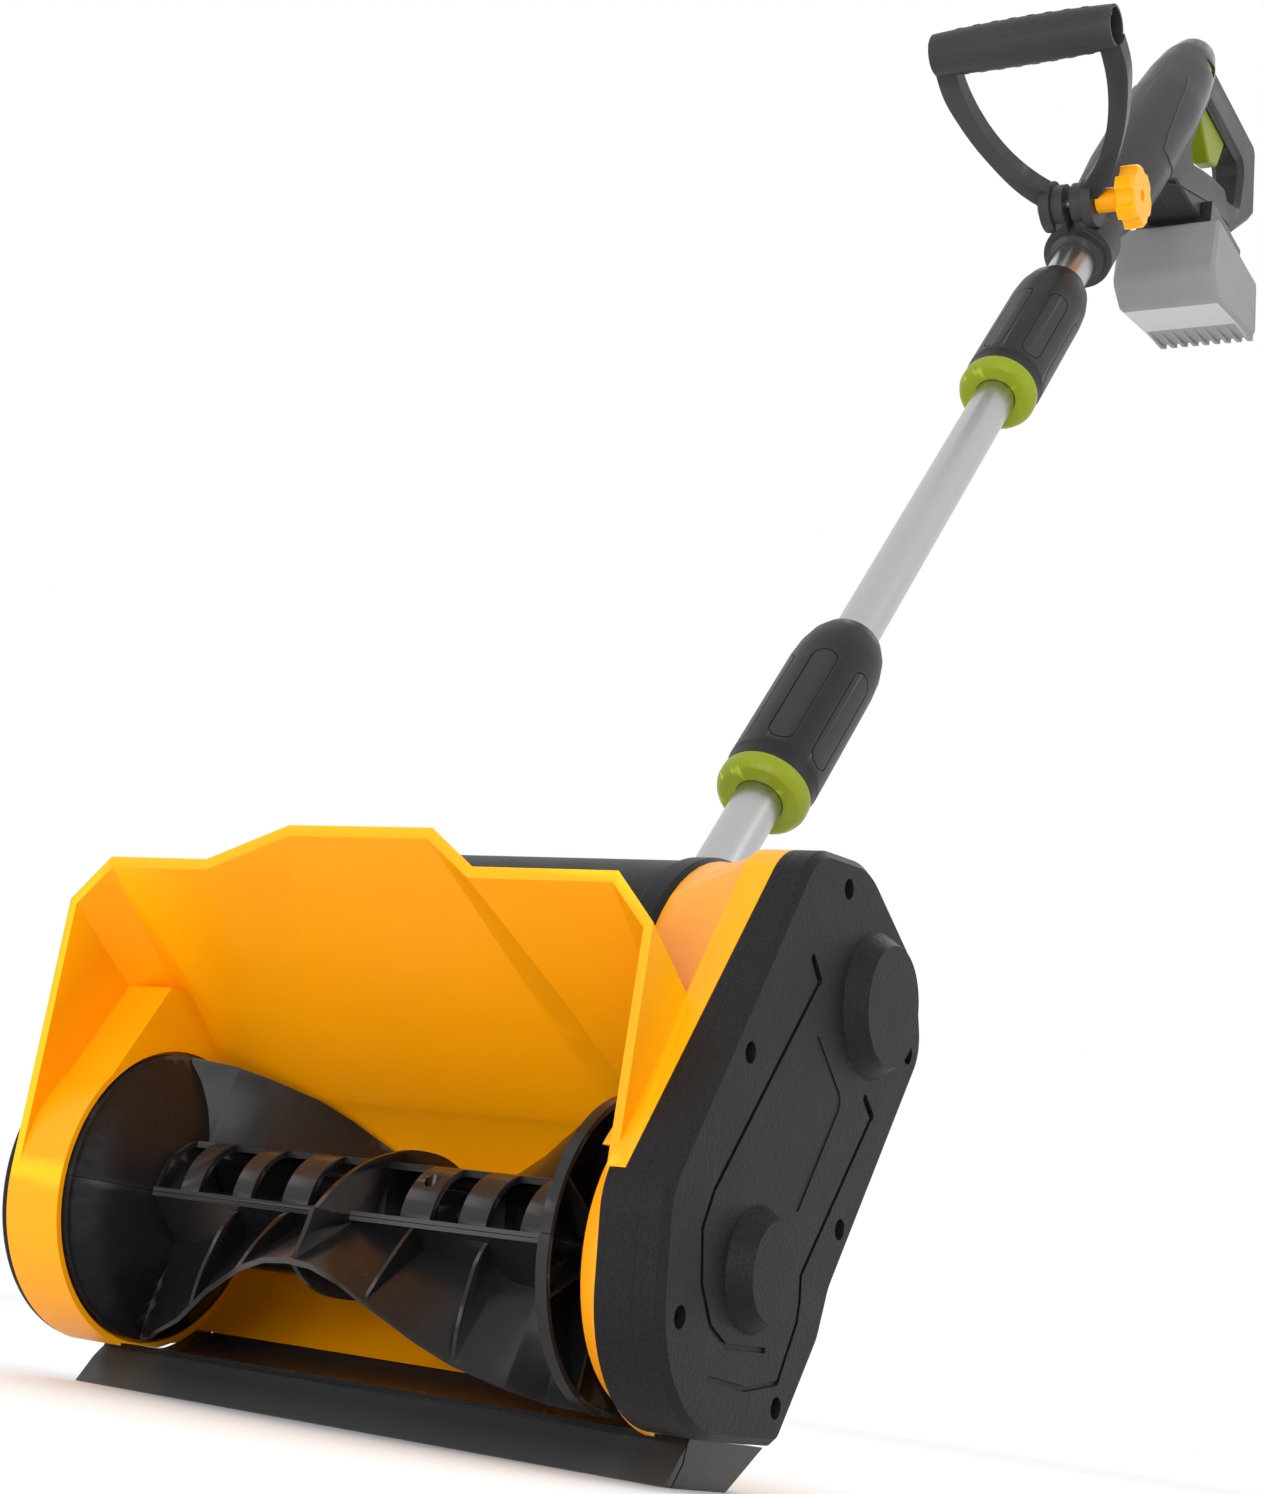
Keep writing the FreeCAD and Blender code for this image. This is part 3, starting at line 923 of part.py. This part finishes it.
def d_handle():
    sides = []
    for side in (-1, 1):
        outer = [(side * u, w) for u, w in ARM_OUTER]
        inner = [(side * u, w) for u, w in ARM_INNER]
        ends = [Part.makeLine(V(outer[-1][0], 0, outer[-1][1]), V(inner[0][0], 0, inner[0][1])),
                Part.makeLine(V(inner[-1][0], 0, inner[-1][1]), V(outer[0][0], 0, outer[0][1]))]
        wire = Part.Wire([smooth_edge(outer), ends[0], smooth_edge(inner), ends[1]])
        arm = Part.Face(wire).extrude(V(0, ARM_THICK, 0))
        arm.translate(V(0, -ARM_THICK / 2, 0))
        x0 = min(side * HUB_IN, side * HUB_OUT)
        disc = Part.makeCylinder(HUB_DISC_R, HUB_OUT - HUB_IN, V(x0, 0, 0), V(1, 0, 0))
        sides += [arm, disc]
    swell = [V(-GRIP_HALF - 2.5, 0, 0), V(-GRIP_HALF - 2.5, 0, 15.0), V(0, 0, 16.8), V(GRIP_HALF + 2.5, 0, 15.0),
             V(GRIP_HALF + 2.5, 0, 0)]
    arc = Part.Arc(swell[1], swell[2], swell[3]).toShape()
    wire = Part.Wire([Part.makeLine(swell[0], swell[1]), arc, Part.makeLine(swell[3], swell[4]),
                      Part.makeLine(swell[4], swell[0])])
    grip = Part.Face(wire).revolve(V(0, 0, 0), V(1, 0, 0), 360)
    grip.translate(V(0, 0, GRIP_REACH))
    handle = sides[0].fuse(sides[1:] + [grip])
    handle = handle.cut(Part.makeCylinder(12.6, 200, V(-100, 0, GRIP_REACH), V(1, 0, 0)))
    handle = handle.cut(Part.makeCylinder(BOLT_R + FIT, 100, V(-50, 0, 0), V(1, 0, 0)))
    handle = handle.cut(Part.makeCylinder(9.6, 30, V(HUB_OUT, 0, 0), V(1, 0, 0)))
    handle = handle.cut(Part.makeCylinder(7.6, 30, V(-HUB_OUT - 30, 0, 0), V(1, 0, 0)))
    handle = handle.cut(Part.makeBox(2 * HUB_IN, 60, 60, V(-HUB_IN, -30, -38)))
    save("d_handle", on_pivot(handle.removeSplitter()))


def clamp():
    """Split collar on the neck of the rear handle, with two ears that carry the D-handle's bolt."""
    s0, s1 = PIVOT_S - 13, PIVOT_S + 13
    collar = pole_ring(NECK_R + 0.02, NECK_R + 5, s0, s1)
    ears = []
    for side in (-1, 1):
        x0 = min(side * EAR_IN, side * EAR_OUT)
        round_end = on_pole(Part.makeCylinder(15.5, EAR_OUT - EAR_IN, V(x0, -PIVOT_N, PIVOT_S), V(1, 0, 0)))
        neck = on_pole(box(x0, x0 + EAR_OUT - EAR_IN, -PIVOT_N, -NECK_R + 1, s0, s1))
        ears += [round_end, neck]
    body = collar.fuse(ears)
    body = body.cut(on_pole(box(-EAR_IN, EAR_IN, -60, -NECK_R + 3, s0 - 10, s1 + 10)))
    body = body.cut(pole_rod(NECK_R + 0.02, s0 - 9, s1 + 9))
    for side in (-1, 1):
        x0 = min(side * (EAR_OUT + 0.02), side * (HUB_OUT + 0.5))
        relief = Part.makeCylinder(HUB_DISC_R + GAP, HUB_OUT + 0.5 - EAR_OUT - 0.02, V(x0, -PIVOT_N, PIVOT_S), V(1, 0, 0))
        body = body.cut(on_pole(relief))
    body = body.cut(across_pole(PIVOT_S, PIVOT_N, BOLT_R + 0.02, -60, 60))
    save("clamp_collar", body.removeSplitter())
    bolt = fuse([across_pole(PIVOT_S, PIVOT_N, BOLT_R, -22, 44), across_pole(PIVOT_S, PIVOT_N, 7.0, -25, -20.4)])
    save("clamp_bolt", bolt)


def knob():
    """Six-lobed knob screwed on the end of the clamp bolt."""
    middle = pole_point(PIVOT_S, PIVOT_N)
    stem = cyl_x(0, 0, 9.0, 20.4, 41)
    head = cyl_x(0, 0, 23.0, 40.0, 54.0)
    head = head.makeChamfer(2.5, [e for e in head.Edges if e.CenterOfMass.x > 53.9])
    for k in range(6):
        bite = cyl_x(0, 27.0, 8.5, 39, 55)
        bite.rotate(V(0, 0, 0), V(1, 0, 0), 60 * k)
        head = head.cut(bite)
    body = stem.fuse(head)
    body = body.cut(cyl_x(0, 0, 4.2, 52.0, 55)).cut(cyl_x(0, 0, BOLT_R + FIT, 19, 44.5))
    body.translate(V(0, middle.y, middle.z))
    save("clamp_knob", body.removeSplitter())


# ---------------------------------------------------------------- battery
BATTERY_HALF, BATTERY_WALL = 43.0, 2.5
BATTERY_SIDE = [(822, 1023.6, 6), (818, 972, 14), (842, 957, 10), (948, 975, 8), (938, 1023.6, 8)]
CELL_R, CELL_HALF = 9.1, 32.5


def battery():
    case = softened(slab(flat(BATTERY_SIDE), BATTERY_HALF), BATTERY_HALF, 3.0)
    shoe = [box(-20.2, 20.2, FOOT_Y0 + 6, FOOT_Y1, 1023, FOOT_Z + 3.4),
            box(-24, 24, FOOT_Y0 + 6, FOOT_Y1, FOOT_Z + 3.4, FOOT_Z + 9)]
    for k in range(9):
        x0 = -40.2 + 9.5 * k
        rib = slab(flat([(858, 962, 1), (944, 972, 1), (951, 975, 1), (947, 1000, 1), (930, 1000, 1)]), 1.6)
        rib.translate(V(x0 + 2.2, 0, 0))
        case = case.fuse(rib)
    case = case.fuse(shoe)
    case = case.cut(slab(flat(BATTERY_SIDE, -BATTERY_WALL), BATTERY_HALF - BATTERY_WALL))
    for x0 in (-6.3, 4.9):
        case = case.cut(box(x0 - 0.8, x0 + 2.2, FOOT_Y0 + 5, FOOT_Y0 + 38, FOOT_Z + 1, FOOT_Z + 10))
    button_hole = box(-12.5, 12.5, 930, 960, 996.5, 1009.5)
    save("battery_case", case.cut(button_hole).removeSplitter())
    cells = []
    for k in range(5):
        cells.append(cyl_x(840 + 19.2 * k, 985.2, CELL_R, -CELL_HALF, CELL_HALF))
        cells.append(cyl_x(838 + 19.2 * k, 1006, CELL_R, -CELL_HALF, CELL_HALF))
    save("battery_cells", Part.Compound(cells))
    release = box(-12, 12, 936, 945.5, 997, 1009)
    save("battery_release", release.makeChamfer(1.5, [e for e in release.Edges if e.CenterOfMass.y > 945]))


def main():
    scoop_housing()
    head_base()
    side_cap()
    scoop_bearings()
    belt_case()
    belt_drive()
    motor()
    motor_cover()
    rotor()
    shaft_socket()
    pole()
    handle_shells()
    handle_inside()
    battery_foot()
    controls()
    d_handle()
    clamp()
    knob()
    battery()
    os.makedirs("parts", exist_ok=True)
    for name, shape in PARTS.items():
        print(name, len(shape.Solids), shape.isValid(), round(shape.Volume / 1000, 2))
        shape.exportStep(f"parts/{name}.step")


main()
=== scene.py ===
"""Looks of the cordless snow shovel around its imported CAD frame.

Metres. +X is the drive side, +Y the operator's side, +Z up.
"""
import bpy
import bmesh
import json
import math
from mathutils import Matrix, Vector
from mathutils.bvhtree import BVHTree


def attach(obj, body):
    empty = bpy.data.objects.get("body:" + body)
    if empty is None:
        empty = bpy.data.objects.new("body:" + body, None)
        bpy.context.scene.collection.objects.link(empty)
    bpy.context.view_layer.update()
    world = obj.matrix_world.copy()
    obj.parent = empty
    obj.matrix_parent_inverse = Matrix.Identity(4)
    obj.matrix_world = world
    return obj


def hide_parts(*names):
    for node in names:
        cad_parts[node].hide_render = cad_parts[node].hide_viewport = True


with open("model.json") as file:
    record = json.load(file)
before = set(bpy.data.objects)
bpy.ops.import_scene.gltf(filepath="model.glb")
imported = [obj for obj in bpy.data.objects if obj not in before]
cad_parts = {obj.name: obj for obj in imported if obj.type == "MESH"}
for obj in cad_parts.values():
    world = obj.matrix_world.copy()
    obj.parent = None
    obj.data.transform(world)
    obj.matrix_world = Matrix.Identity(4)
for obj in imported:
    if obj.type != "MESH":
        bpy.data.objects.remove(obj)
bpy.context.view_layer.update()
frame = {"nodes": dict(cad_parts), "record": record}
NODES = frame["nodes"]
BODY = {n: b for b, ns in frame["record"]["behaviour"]["bodies"].items() for n in ns}
SLOT = {p["node"]: p["material_slot"] for p in frame["record"]["subparts"]}


# ---------------------------------------------------------------- camera, floor, light
LENS = 56.06                                    # mm, on a sensor 36 mm wide
CAMERA_PLACE = (0.59697, -0.85048, 0.03587)
CAMERA_FORWARD = (-0.50813, 0.82067, 0.26135)
CAMERA_RIGHT = (0.86128, 0.48527, 0.15073)
VIEW_LIMIT = 50
FLOOR_HALF = 8
FLOOR_COLOUR = (0.95, 0.95, 0.95, 1)
# name, place, point it faces, width and height, watts
LAMPS = (
    ("key", (0.9, -2.2, 1.3), (0, 0.0, 0.15), (1.3, 1.0), 10),
    ("front", (0.3, -1.7, 0.25), (0, 0.1, 0.14), (1.2, 0.4), 13),
    ("side", (2.6, 0.4, 1.8), (0, 0.3, 0.5), (1.2, 1.0), 8),
    ("back", (-0.4, 2.6, 2.6), (0, 0.5, 0.6), (1.4, 1.0), 12),
)


def camera():
    data = bpy.data.cameras.new("camera")
    data.sensor_fit = "AUTO"
    data.sensor_width = 36.0
    data.lens = LENS
    data.clip_end = VIEW_LIMIT
    cam = bpy.data.objects.new("camera", data)
    forward = Vector(CAMERA_FORWARD).normalized()
    right = Vector(CAMERA_RIGHT).normalized()
    up = right.cross(forward).normalized()
    right = forward.cross(up).normalized()
    turn = Matrix((right, up, -forward)).transposed().to_4x4()
    cam.matrix_world = Matrix.Translation(CAMERA_PLACE) @ turn
    bpy.context.scene.collection.objects.link(cam)
    bpy.context.scene.camera = cam


def area_light(name, place, aim, size, power):
    data = bpy.data.lights.new(name, "AREA")
    data.shape = "RECTANGLE"
    data.size, data.size_y = size
    data.energy = power
    lamp = bpy.data.objects.new(name, data)
    lamp.location = place
    lamp.rotation_euler = (Vector(aim) - Vector(place)).to_track_quat("-Z", "Y").to_euler()
    bpy.context.scene.collection.objects.link(lamp)


def studio():
    world = bpy.data.worlds.new("studio")
    world.use_nodes = True
    background = world.node_tree.nodes["Background"]
    background.inputs["Color"].default_value = (1.0, 1.0, 1.0, 1)
    background.inputs["Strength"].default_value = 1.0
    bpy.context.scene.world = world
    bpy.context.scene.view_settings.view_transform = "Standard"
    for lamp in LAMPS:
        area_light(*lamp)
    mesh = bpy.data.meshes.new("floor")
    corners = [(x * FLOOR_HALF, y * FLOOR_HALF, 0) for x, y in ((-1, -1), (1, -1), (1, 1), (-1, 1))]
    mesh.from_pydata(corners, [], [(0, 1, 2, 3)])
    floor = bpy.data.objects.new("floor", mesh)
    bpy.context.scene.collection.objects.link(floor)
    mat = bpy.data.materials.new("floor")
    mat.use_nodes = True
    shader = mat.node_tree.nodes["Principled BSDF"]
    shader.inputs["Base Color"].default_value = FLOOR_COLOUR
    shader.inputs["Roughness"].default_value = 0.9
    mesh.materials.append(mat)


camera()
studio()


# ---------------------------------------------------------------- materials
PLASTIC_SPECULAR = 0.25
GRAINED_SPECULAR = 0.15


class Look:
    """A procedural material: colour variation, grain bump and a painted highlight on convex edges over one
    Principled shader.
    """

    def __init__(self, name):
        self.mat = bpy.data.materials.new(name)
        self.mat.use_nodes = True
        self.tree = self.mat.node_tree
        self.shader = self.tree.nodes["Principled BSDF"]
        self.place = self.tree.nodes.new("ShaderNodeTexCoord").outputs["Object"]

    def link(self, a, b):
        self.tree.links.new(a, b)

    def set(self, **values):
        for key, value in values.items():
            self.shader.inputs[key.replace("_", " ")].default_value = value

    def noise(self, scale, detail=3.0, rough=0.55, stretch=None):
        node = self.tree.nodes.new("ShaderNodeTexNoise")
        node.inputs["Scale"].default_value = scale
        node.inputs["Detail"].default_value = detail
        node.inputs["Roughness"].default_value = rough
        source = self.place
        if stretch:
            mapping = self.tree.nodes.new("ShaderNodeMapping")
            mapping.inputs["Scale"].default_value = stretch[:3]
            if len(stretch) > 3:
                mapping.inputs["Rotation"].default_value = (stretch[3], 0, 0)
            self.link(source, mapping.inputs["Vector"])
            source = mapping.outputs["Vector"]
        self.link(source, node.inputs["Vector"])
        return node.outputs["Fac"]

    def cells(self, scale):
        node = self.tree.nodes.new("ShaderNodeTexVoronoi")
        node.inputs["Scale"].default_value = scale
        self.link(self.place, node.inputs["Vector"])
        return node.outputs["Distance"]

    def ramp(self, fac, low, high, stops=(0.3, 0.7)):
        node = self.tree.nodes.new("ShaderNodeValToRGB")
        node.color_ramp.elements[0].position = stops[0]
        node.color_ramp.elements[1].position = stops[1]
        node.color_ramp.elements[0].color = (*low, 1)
        node.color_ramp.elements[1].color = (*high, 1)
        self.link(fac, node.inputs["Fac"])
        return node.outputs["Color"]

    def spread(self, fac, low, high):
        node = self.tree.nodes.new("ShaderNodeMapRange")
        node.inputs["To Min"].default_value = low
        node.inputs["To Max"].default_value = high
        self.link(fac, node.inputs["Value"])
        return node.outputs["Result"]

    def colour(self, socket):
        self.link(socket, self.shader.inputs["Base Color"])

    def roughness(self, socket):
        self.link(socket, self.shader.inputs["Roughness"])

    def bump(self, height, strength, distance, under=None):
        node = self.tree.nodes.new("ShaderNodeBump")
        node.inputs["Strength"].default_value = strength
        node.inputs["Distance"].default_value = distance
        self.link(height, node.inputs["Height"])
        if under:
            self.link(under, node.inputs["Normal"])
        self.link(node.outputs["Normal"], self.shader.inputs["Normal"])
        return node.outputs["Normal"]

    def painted_edge_highlight(self, base, highlight_colour, low=0.52, high=0.62):
        """Mix a lighter edge colour in where the surface is convex: a painted highlight along the edges."""
        geo = self.tree.nodes.new("ShaderNodeNewGeometry")
        ramp = self.ramp(geo.outputs["Pointiness"], (0, 0, 0), (1, 1, 1), (low, high))
        mix = self.tree.nodes.new("ShaderNodeMix")
        mix.data_type = "RGBA"
        self.link(ramp, mix.inputs["Factor"])
        self.link(base, mix.inputs["A"])
        mix.inputs["B"].default_value = (*highlight_colour, 1)
        return mix.outputs["Result"]


def moulded(name, low, high, rough, grain_scale, grain, highlight_colour=None, cloud=9.0):
    """Moulded plastic: faint cloudy colour, fine grain, roughness that varies a little."""
    look = Look(name)
    base = look.ramp(look.noise(cloud, 4), low, high)
    # painted highlight: a lighter colour mixed in along convex edges
    if highlight_colour:
        base = look.painted_edge_highlight(base, highlight_colour)
    look.colour(base)
    look.roughness(look.spread(look.noise(35, 4), rough - 0.05, rough + 0.06))
    first = look.bump(look.noise(grain_scale, 2), grain, 0.0003)
    look.bump(look.noise(14, 2), 0.05, 0.001, first)
    look.set(Specular_IOR_Level=PLASTIC_SPECULAR)
    return look.mat


def grained(name, low, high, rough, scale, strength):
    """Spark-eroded plastic with visible grain."""
    look = Look(name)
    look.colour(look.ramp(look.cells(scale), low, high, (0.1, 0.6)))
    look.roughness(look.spread(look.noise(60, 4), rough - 0.06, rough + 0.06))
    first = look.bump(look.cells(scale), strength, 0.0004)
    look.bump(look.noise(scale * 1.7, 3), strength * 0.6, 0.0002, first)
    look.set(Specular_IOR_Level=GRAINED_SPECULAR)
    return look.mat


def metal(name, low, high, rough, stretch):
    """Drawn or turned metal: streaks in colour, roughness and bump, drawn out by the stretch."""
    look = Look(name)
    streak = look.noise(90, 5, 0.6, stretch)
    look.colour(look.ramp(streak, low, high))
    look.roughness(look.spread(streak, rough - 0.05, rough + 0.1))
    look.bump(streak, 0.25, 0.0001)
    look.set(Metallic=1.0)
    return look.mat


POLE_LEAN = 54.9                                # degrees above level
POLE_TURN = math.radians(90 - POLE_LEAN)
# each edge colour given below is a painted highlight along convex edges
MATERIALS = {
    "yellow_housing": moulded("yellow_plastic", (0.81, 0.29, 0.0), (0.86, 0.32, 0.0), 0.36, 900, 0.06,
                              highlight_colour=(0.94, 0.45, 0.002)),
    "yellow_knob": moulded("yellow_knob", (0.94, 0.36, 0.0), (0.98, 0.40, 0.0), 0.34, 700, 0.06,
                           highlight_colour=(1.0, 0.56, 0.01)),
    "black_gloss": moulded("black_gloss", (0.006, 0.006, 0.007), (0.011, 0.011, 0.012), 0.26, 700, 0.08,
                           highlight_colour=(0.05, 0.05, 0.05)),
    "blade_edge": moulded("blade_edge", (0.014, 0.014, 0.015), (0.022, 0.022, 0.023), 0.33, 500, 0.1,
                          highlight_colour=(0.07, 0.07, 0.07)),
    "black_grained": grained("black_grained", (0.005, 0.005, 0.006), (0.010, 0.010, 0.011), 0.46, 700, 0.35),
    "dark_grip": moulded("dark_grip", (0.024, 0.024, 0.026), (0.032, 0.032, 0.034), 0.45, 1300, 0.18,
                         highlight_colour=(0.07, 0.07, 0.07)),
    "soft_sleeve": moulded("soft_sleeve", (0.008, 0.008, 0.009), (0.013, 0.013, 0.014), 0.42, 1500, 0.15,
                           highlight_colour=(0.07, 0.07, 0.07)),
    "clamp_nylon": moulded("nylon", (0.05, 0.05, 0.052), (0.08, 0.08, 0.082), 0.5, 900, 0.1),
    "pulley_plastic": moulded("pulley", (0.06, 0.06, 0.06), (0.09, 0.09, 0.09), 0.5, 900, 0.1),
    "tube_aluminium": metal("tube", (0.42, 0.42, 0.42), (0.54, 0.54, 0.54), 0.28, (60, 60, 1.5, POLE_TURN)),
    "lime_control": moulded("lime", (0.19, 0.23, 0.004), (0.24, 0.29, 0.006), 0.35, 900, 0.08,
                            highlight_colour=(0.36, 0.42, 0.03)),
    "battery_grey": moulded("battery", (0.20, 0.20, 0.20), (0.26, 0.26, 0.26), 0.5, 1100, 0.12,
                            highlight_colour=(0.5, 0.5, 0.5)),
    "battery_button": moulded("battery_button", (0.14, 0.14, 0.14), (0.18, 0.18, 0.18), 0.45, 900, 0.1),
    "cell_metal": moulded("cell_wrap", (0.10, 0.22, 0.30), (0.14, 0.28, 0.36), 0.35, 300, 0.05),
    "shaft_steel": metal("shaft", (0.45, 0.45, 0.46), (0.65, 0.65, 0.66), 0.22, (2, 60, 60)),
    "screw_steel": metal("screw", (0.35, 0.35, 0.36), (0.55, 0.55, 0.56), 0.3, (20, 20, 20)),
    "motor_steel": metal("motor", (0.30, 0.30, 0.31), (0.42, 0.42, 0.43), 0.35, (2, 40, 40)),
    "armature_iron": metal("armature", (0.20, 0.17, 0.14), (0.32, 0.27, 0.22), 0.5, (60, 2, 2)),
    "belt_rubber": moulded("belt", (0.012, 0.012, 0.012), (0.02, 0.02, 0.02), 0.75, 400, 0.3),
    "board_green": moulded("board", (0.01, 0.10, 0.03), (0.02, 0.16, 0.05), 0.35, 300, 0.05),
    "terminal_brass": metal("terminal", (0.55, 0.38, 0.14), (0.75, 0.55, 0.25), 0.25, (20, 20, 20)),
}

for node_name, node in NODES.items():
    node.data.materials.clear()
    node.data.materials.append(MATERIALS[SLOT[node_name]])


# ---------------------------------------------------------------- pieces
WELD = 1e-5
FLAT_ANGLE = math.radians(1.0)
EDGE_ANGLE = math.radians(28.0)
EDGE_ROUNDING = 0.0006


def refined(node_name):
    """A finished copy of a CAD node: flat faces joined again, edges rounded, smooth shading."""
    source = NODES[node_name]
    mesh = source.data.copy()
    bm = bmesh.new()
    bm.from_mesh(mesh)
    bmesh.ops.remove_doubles(bm, verts=bm.verts, dist=WELD)
    bmesh.ops.dissolve_limit(bm, angle_limit=FLAT_ANGLE, verts=bm.verts, edges=bm.edges)
    bm.to_mesh(mesh)
    bm.free()
    piece = bpy.data.objects.new(node_name + "_finished", mesh)
    bpy.context.scene.collection.objects.link(piece)
    for poly in mesh.polygons:
        poly.use_smooth = True
    bevel = piece.modifiers.new("rounding", "BEVEL")
    bevel.width = EDGE_ROUNDING
    bevel.segments = 2
    bevel.limit_method = "ANGLE"
    bevel.angle_limit = EDGE_ANGLE
    weighted = piece.modifiers.new("normals", "WEIGHTED_NORMAL")
    weighted.keep_sharp = False
    weighted.weight = 80
    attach(piece, BODY[node_name])
    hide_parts(node_name)


REFINED = (
    "scoop_housing", "scraper_base", "scraper_blade", "left_side_cap", "belt_casing", "belt_cover",
    "motor_cover", "rotor_upper_half", "rotor_lower_half", "shaft_socket", "d_handle",
    "rear_handle_left", "rear_handle_right", "battery_foot", "trigger", "lockoff_button",
    "clamp_collar", "clamp_knob", "battery_case", "battery_release", "lower_sleeve", "upper_sleeve",
    "lower_lock_ring", "upper_lock_ring")
for node_name in REFINED:
    refined(node_name)

# ---------------------------------------------------------------- grip dashes and the rear handle's side rib
GRIP_Y, GRIP_Z = 0.4872, 0.9863      # axis of the front grip, along X
GRIP_ROWS = (190, 250, 310, 10, 70, 130)
GRIP_PITCH, GRIP_COUNT = 0.0134, 8
GRIP_CLEAR = 0.03                    # a ray starts this far from the axis
FACING = 0.9                         # least cosine between the surface and the row it belongs to
DASH = (0.0060, 0.0032, 0.0009)      # length, width, thickness
DASH_SHAPE = (0.55, 0.75)            # how square the ends and the sides are, 1 is round
RIB_RADIUS = 0.0010
RIB_STEP = 3                         # mm between points
RIB_CLEAR = 0.1
# the line's course in the side view, y and z in mm
RIB = ((771.6, 1126.2), (746.9, 1086.7), (720.2, 1041.2), (712.6, 1025.6), (722.6, 1019.7), (749.5, 1022.1),
       (796.7, 1038.1), (845.9, 1055.4), (890.7, 1063.8), (926.1, 1070.1))


def surface(node_name):
    """A search tree over a CAD node's faces, in the frame's own coordinates."""
    node = NODES[node_name]
    corners = [node.matrix_world @ vert.co for vert in node.data.vertices]
    return BVHTree.FromPolygons(corners, [tuple(face.vertices) for face in node.data.polygons])


def add_piece(name, bm, body, slot):
    """A smooth new piece made of the given mesh, riding on one body."""
    mesh = bpy.data.meshes.new(name)
    bmesh.ops.recalc_face_normals(bm, faces=bm.faces)
    bm.to_mesh(mesh)
    bm.free()
    for poly in mesh.polygons:
        poly.use_smooth = True
    mesh.materials.append(MATERIALS[slot])
    piece = bpy.data.objects.new(name, mesh)
    bpy.context.scene.collection.objects.link(piece)
    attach(piece, body)


def grip_dashes():
    """Rows of small raised rounded bars pressed into the front grip."""
    bm = bmesh.new()
    handle = surface("d_handle")
    for turn in GRIP_ROWS:
        out = Vector((0, math.cos(math.radians(turn)), math.sin(math.radians(turn))))
        for step in range(GRIP_COUNT):
            x = (step - (GRIP_COUNT - 1) / 2) * GRIP_PITCH
            point, normal, _, _ = handle.ray_cast(Vector((x, GRIP_Y, GRIP_Z)) + out * GRIP_CLEAR, -out)
            if point is None or normal.dot(out) < FACING:
                continue
            across = Vector((1, 0, 0)).cross(normal).normalized()
            along = across.cross(normal).normalized()
            made = bmesh.ops.create_icosphere(bm, subdivisions=3, radius=1.0)
            for vert in made["verts"]:
                u, v, w = vert.co
                u = math.copysign(abs(u) ** DASH_SHAPE[0], u)
                v = math.copysign(abs(v) ** DASH_SHAPE[1], v)
                vert.co = (point + along * u * DASH[0] / 2 + across * v * DASH[1] / 2
                           + normal * w * DASH[2] / 2)
    add_piece("grip_dashes", bm, "front_handle", "dark_grip")


def handle_rib(side):
    """The raised line moulded on one side of the rear handle, laid on its surface."""
    half = surface("rear_handle_right" if side > 0 else "rear_handle_left")
    path = []
    for (y0, z0), (y1, z1) in zip(RIB, RIB[1:]):
        count = max(2, int(math.hypot(y1 - y0, z1 - z0) / RIB_STEP))
        for step in range(count):
            part = step / count
            y, z = (y0 + (y1 - y0) * part) / 1000, (z0 + (z1 - z0) * part) / 1000
            point = half.ray_cast(Vector((side * RIB_CLEAR, y, z)), Vector((-side, 0, 0)))[0]
            if point is not None:
                path.append(point)
    curve = bpy.data.curves.new("handle_rib", "CURVE")
    curve.dimensions = "3D"
    curve.bevel_depth = RIB_RADIUS
    curve.bevel_resolution = 4
    curve.use_fill_caps = True
    line = curve.splines.new("POLY")
    line.points.add(len(path) - 1)
    for place, point in zip(line.points, path):
        place.co = (*point, 1)
    curve.materials.append(MATERIALS["dark_grip"])
    piece = bpy.data.objects.new("handle_rib_" + ("right" if side > 0 else "left"), curve)
    bpy.context.scene.collection.objects.link(piece)
    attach(piece, "upper_pole")


grip_dashes()
handle_rib(1)
handle_rib(-1)
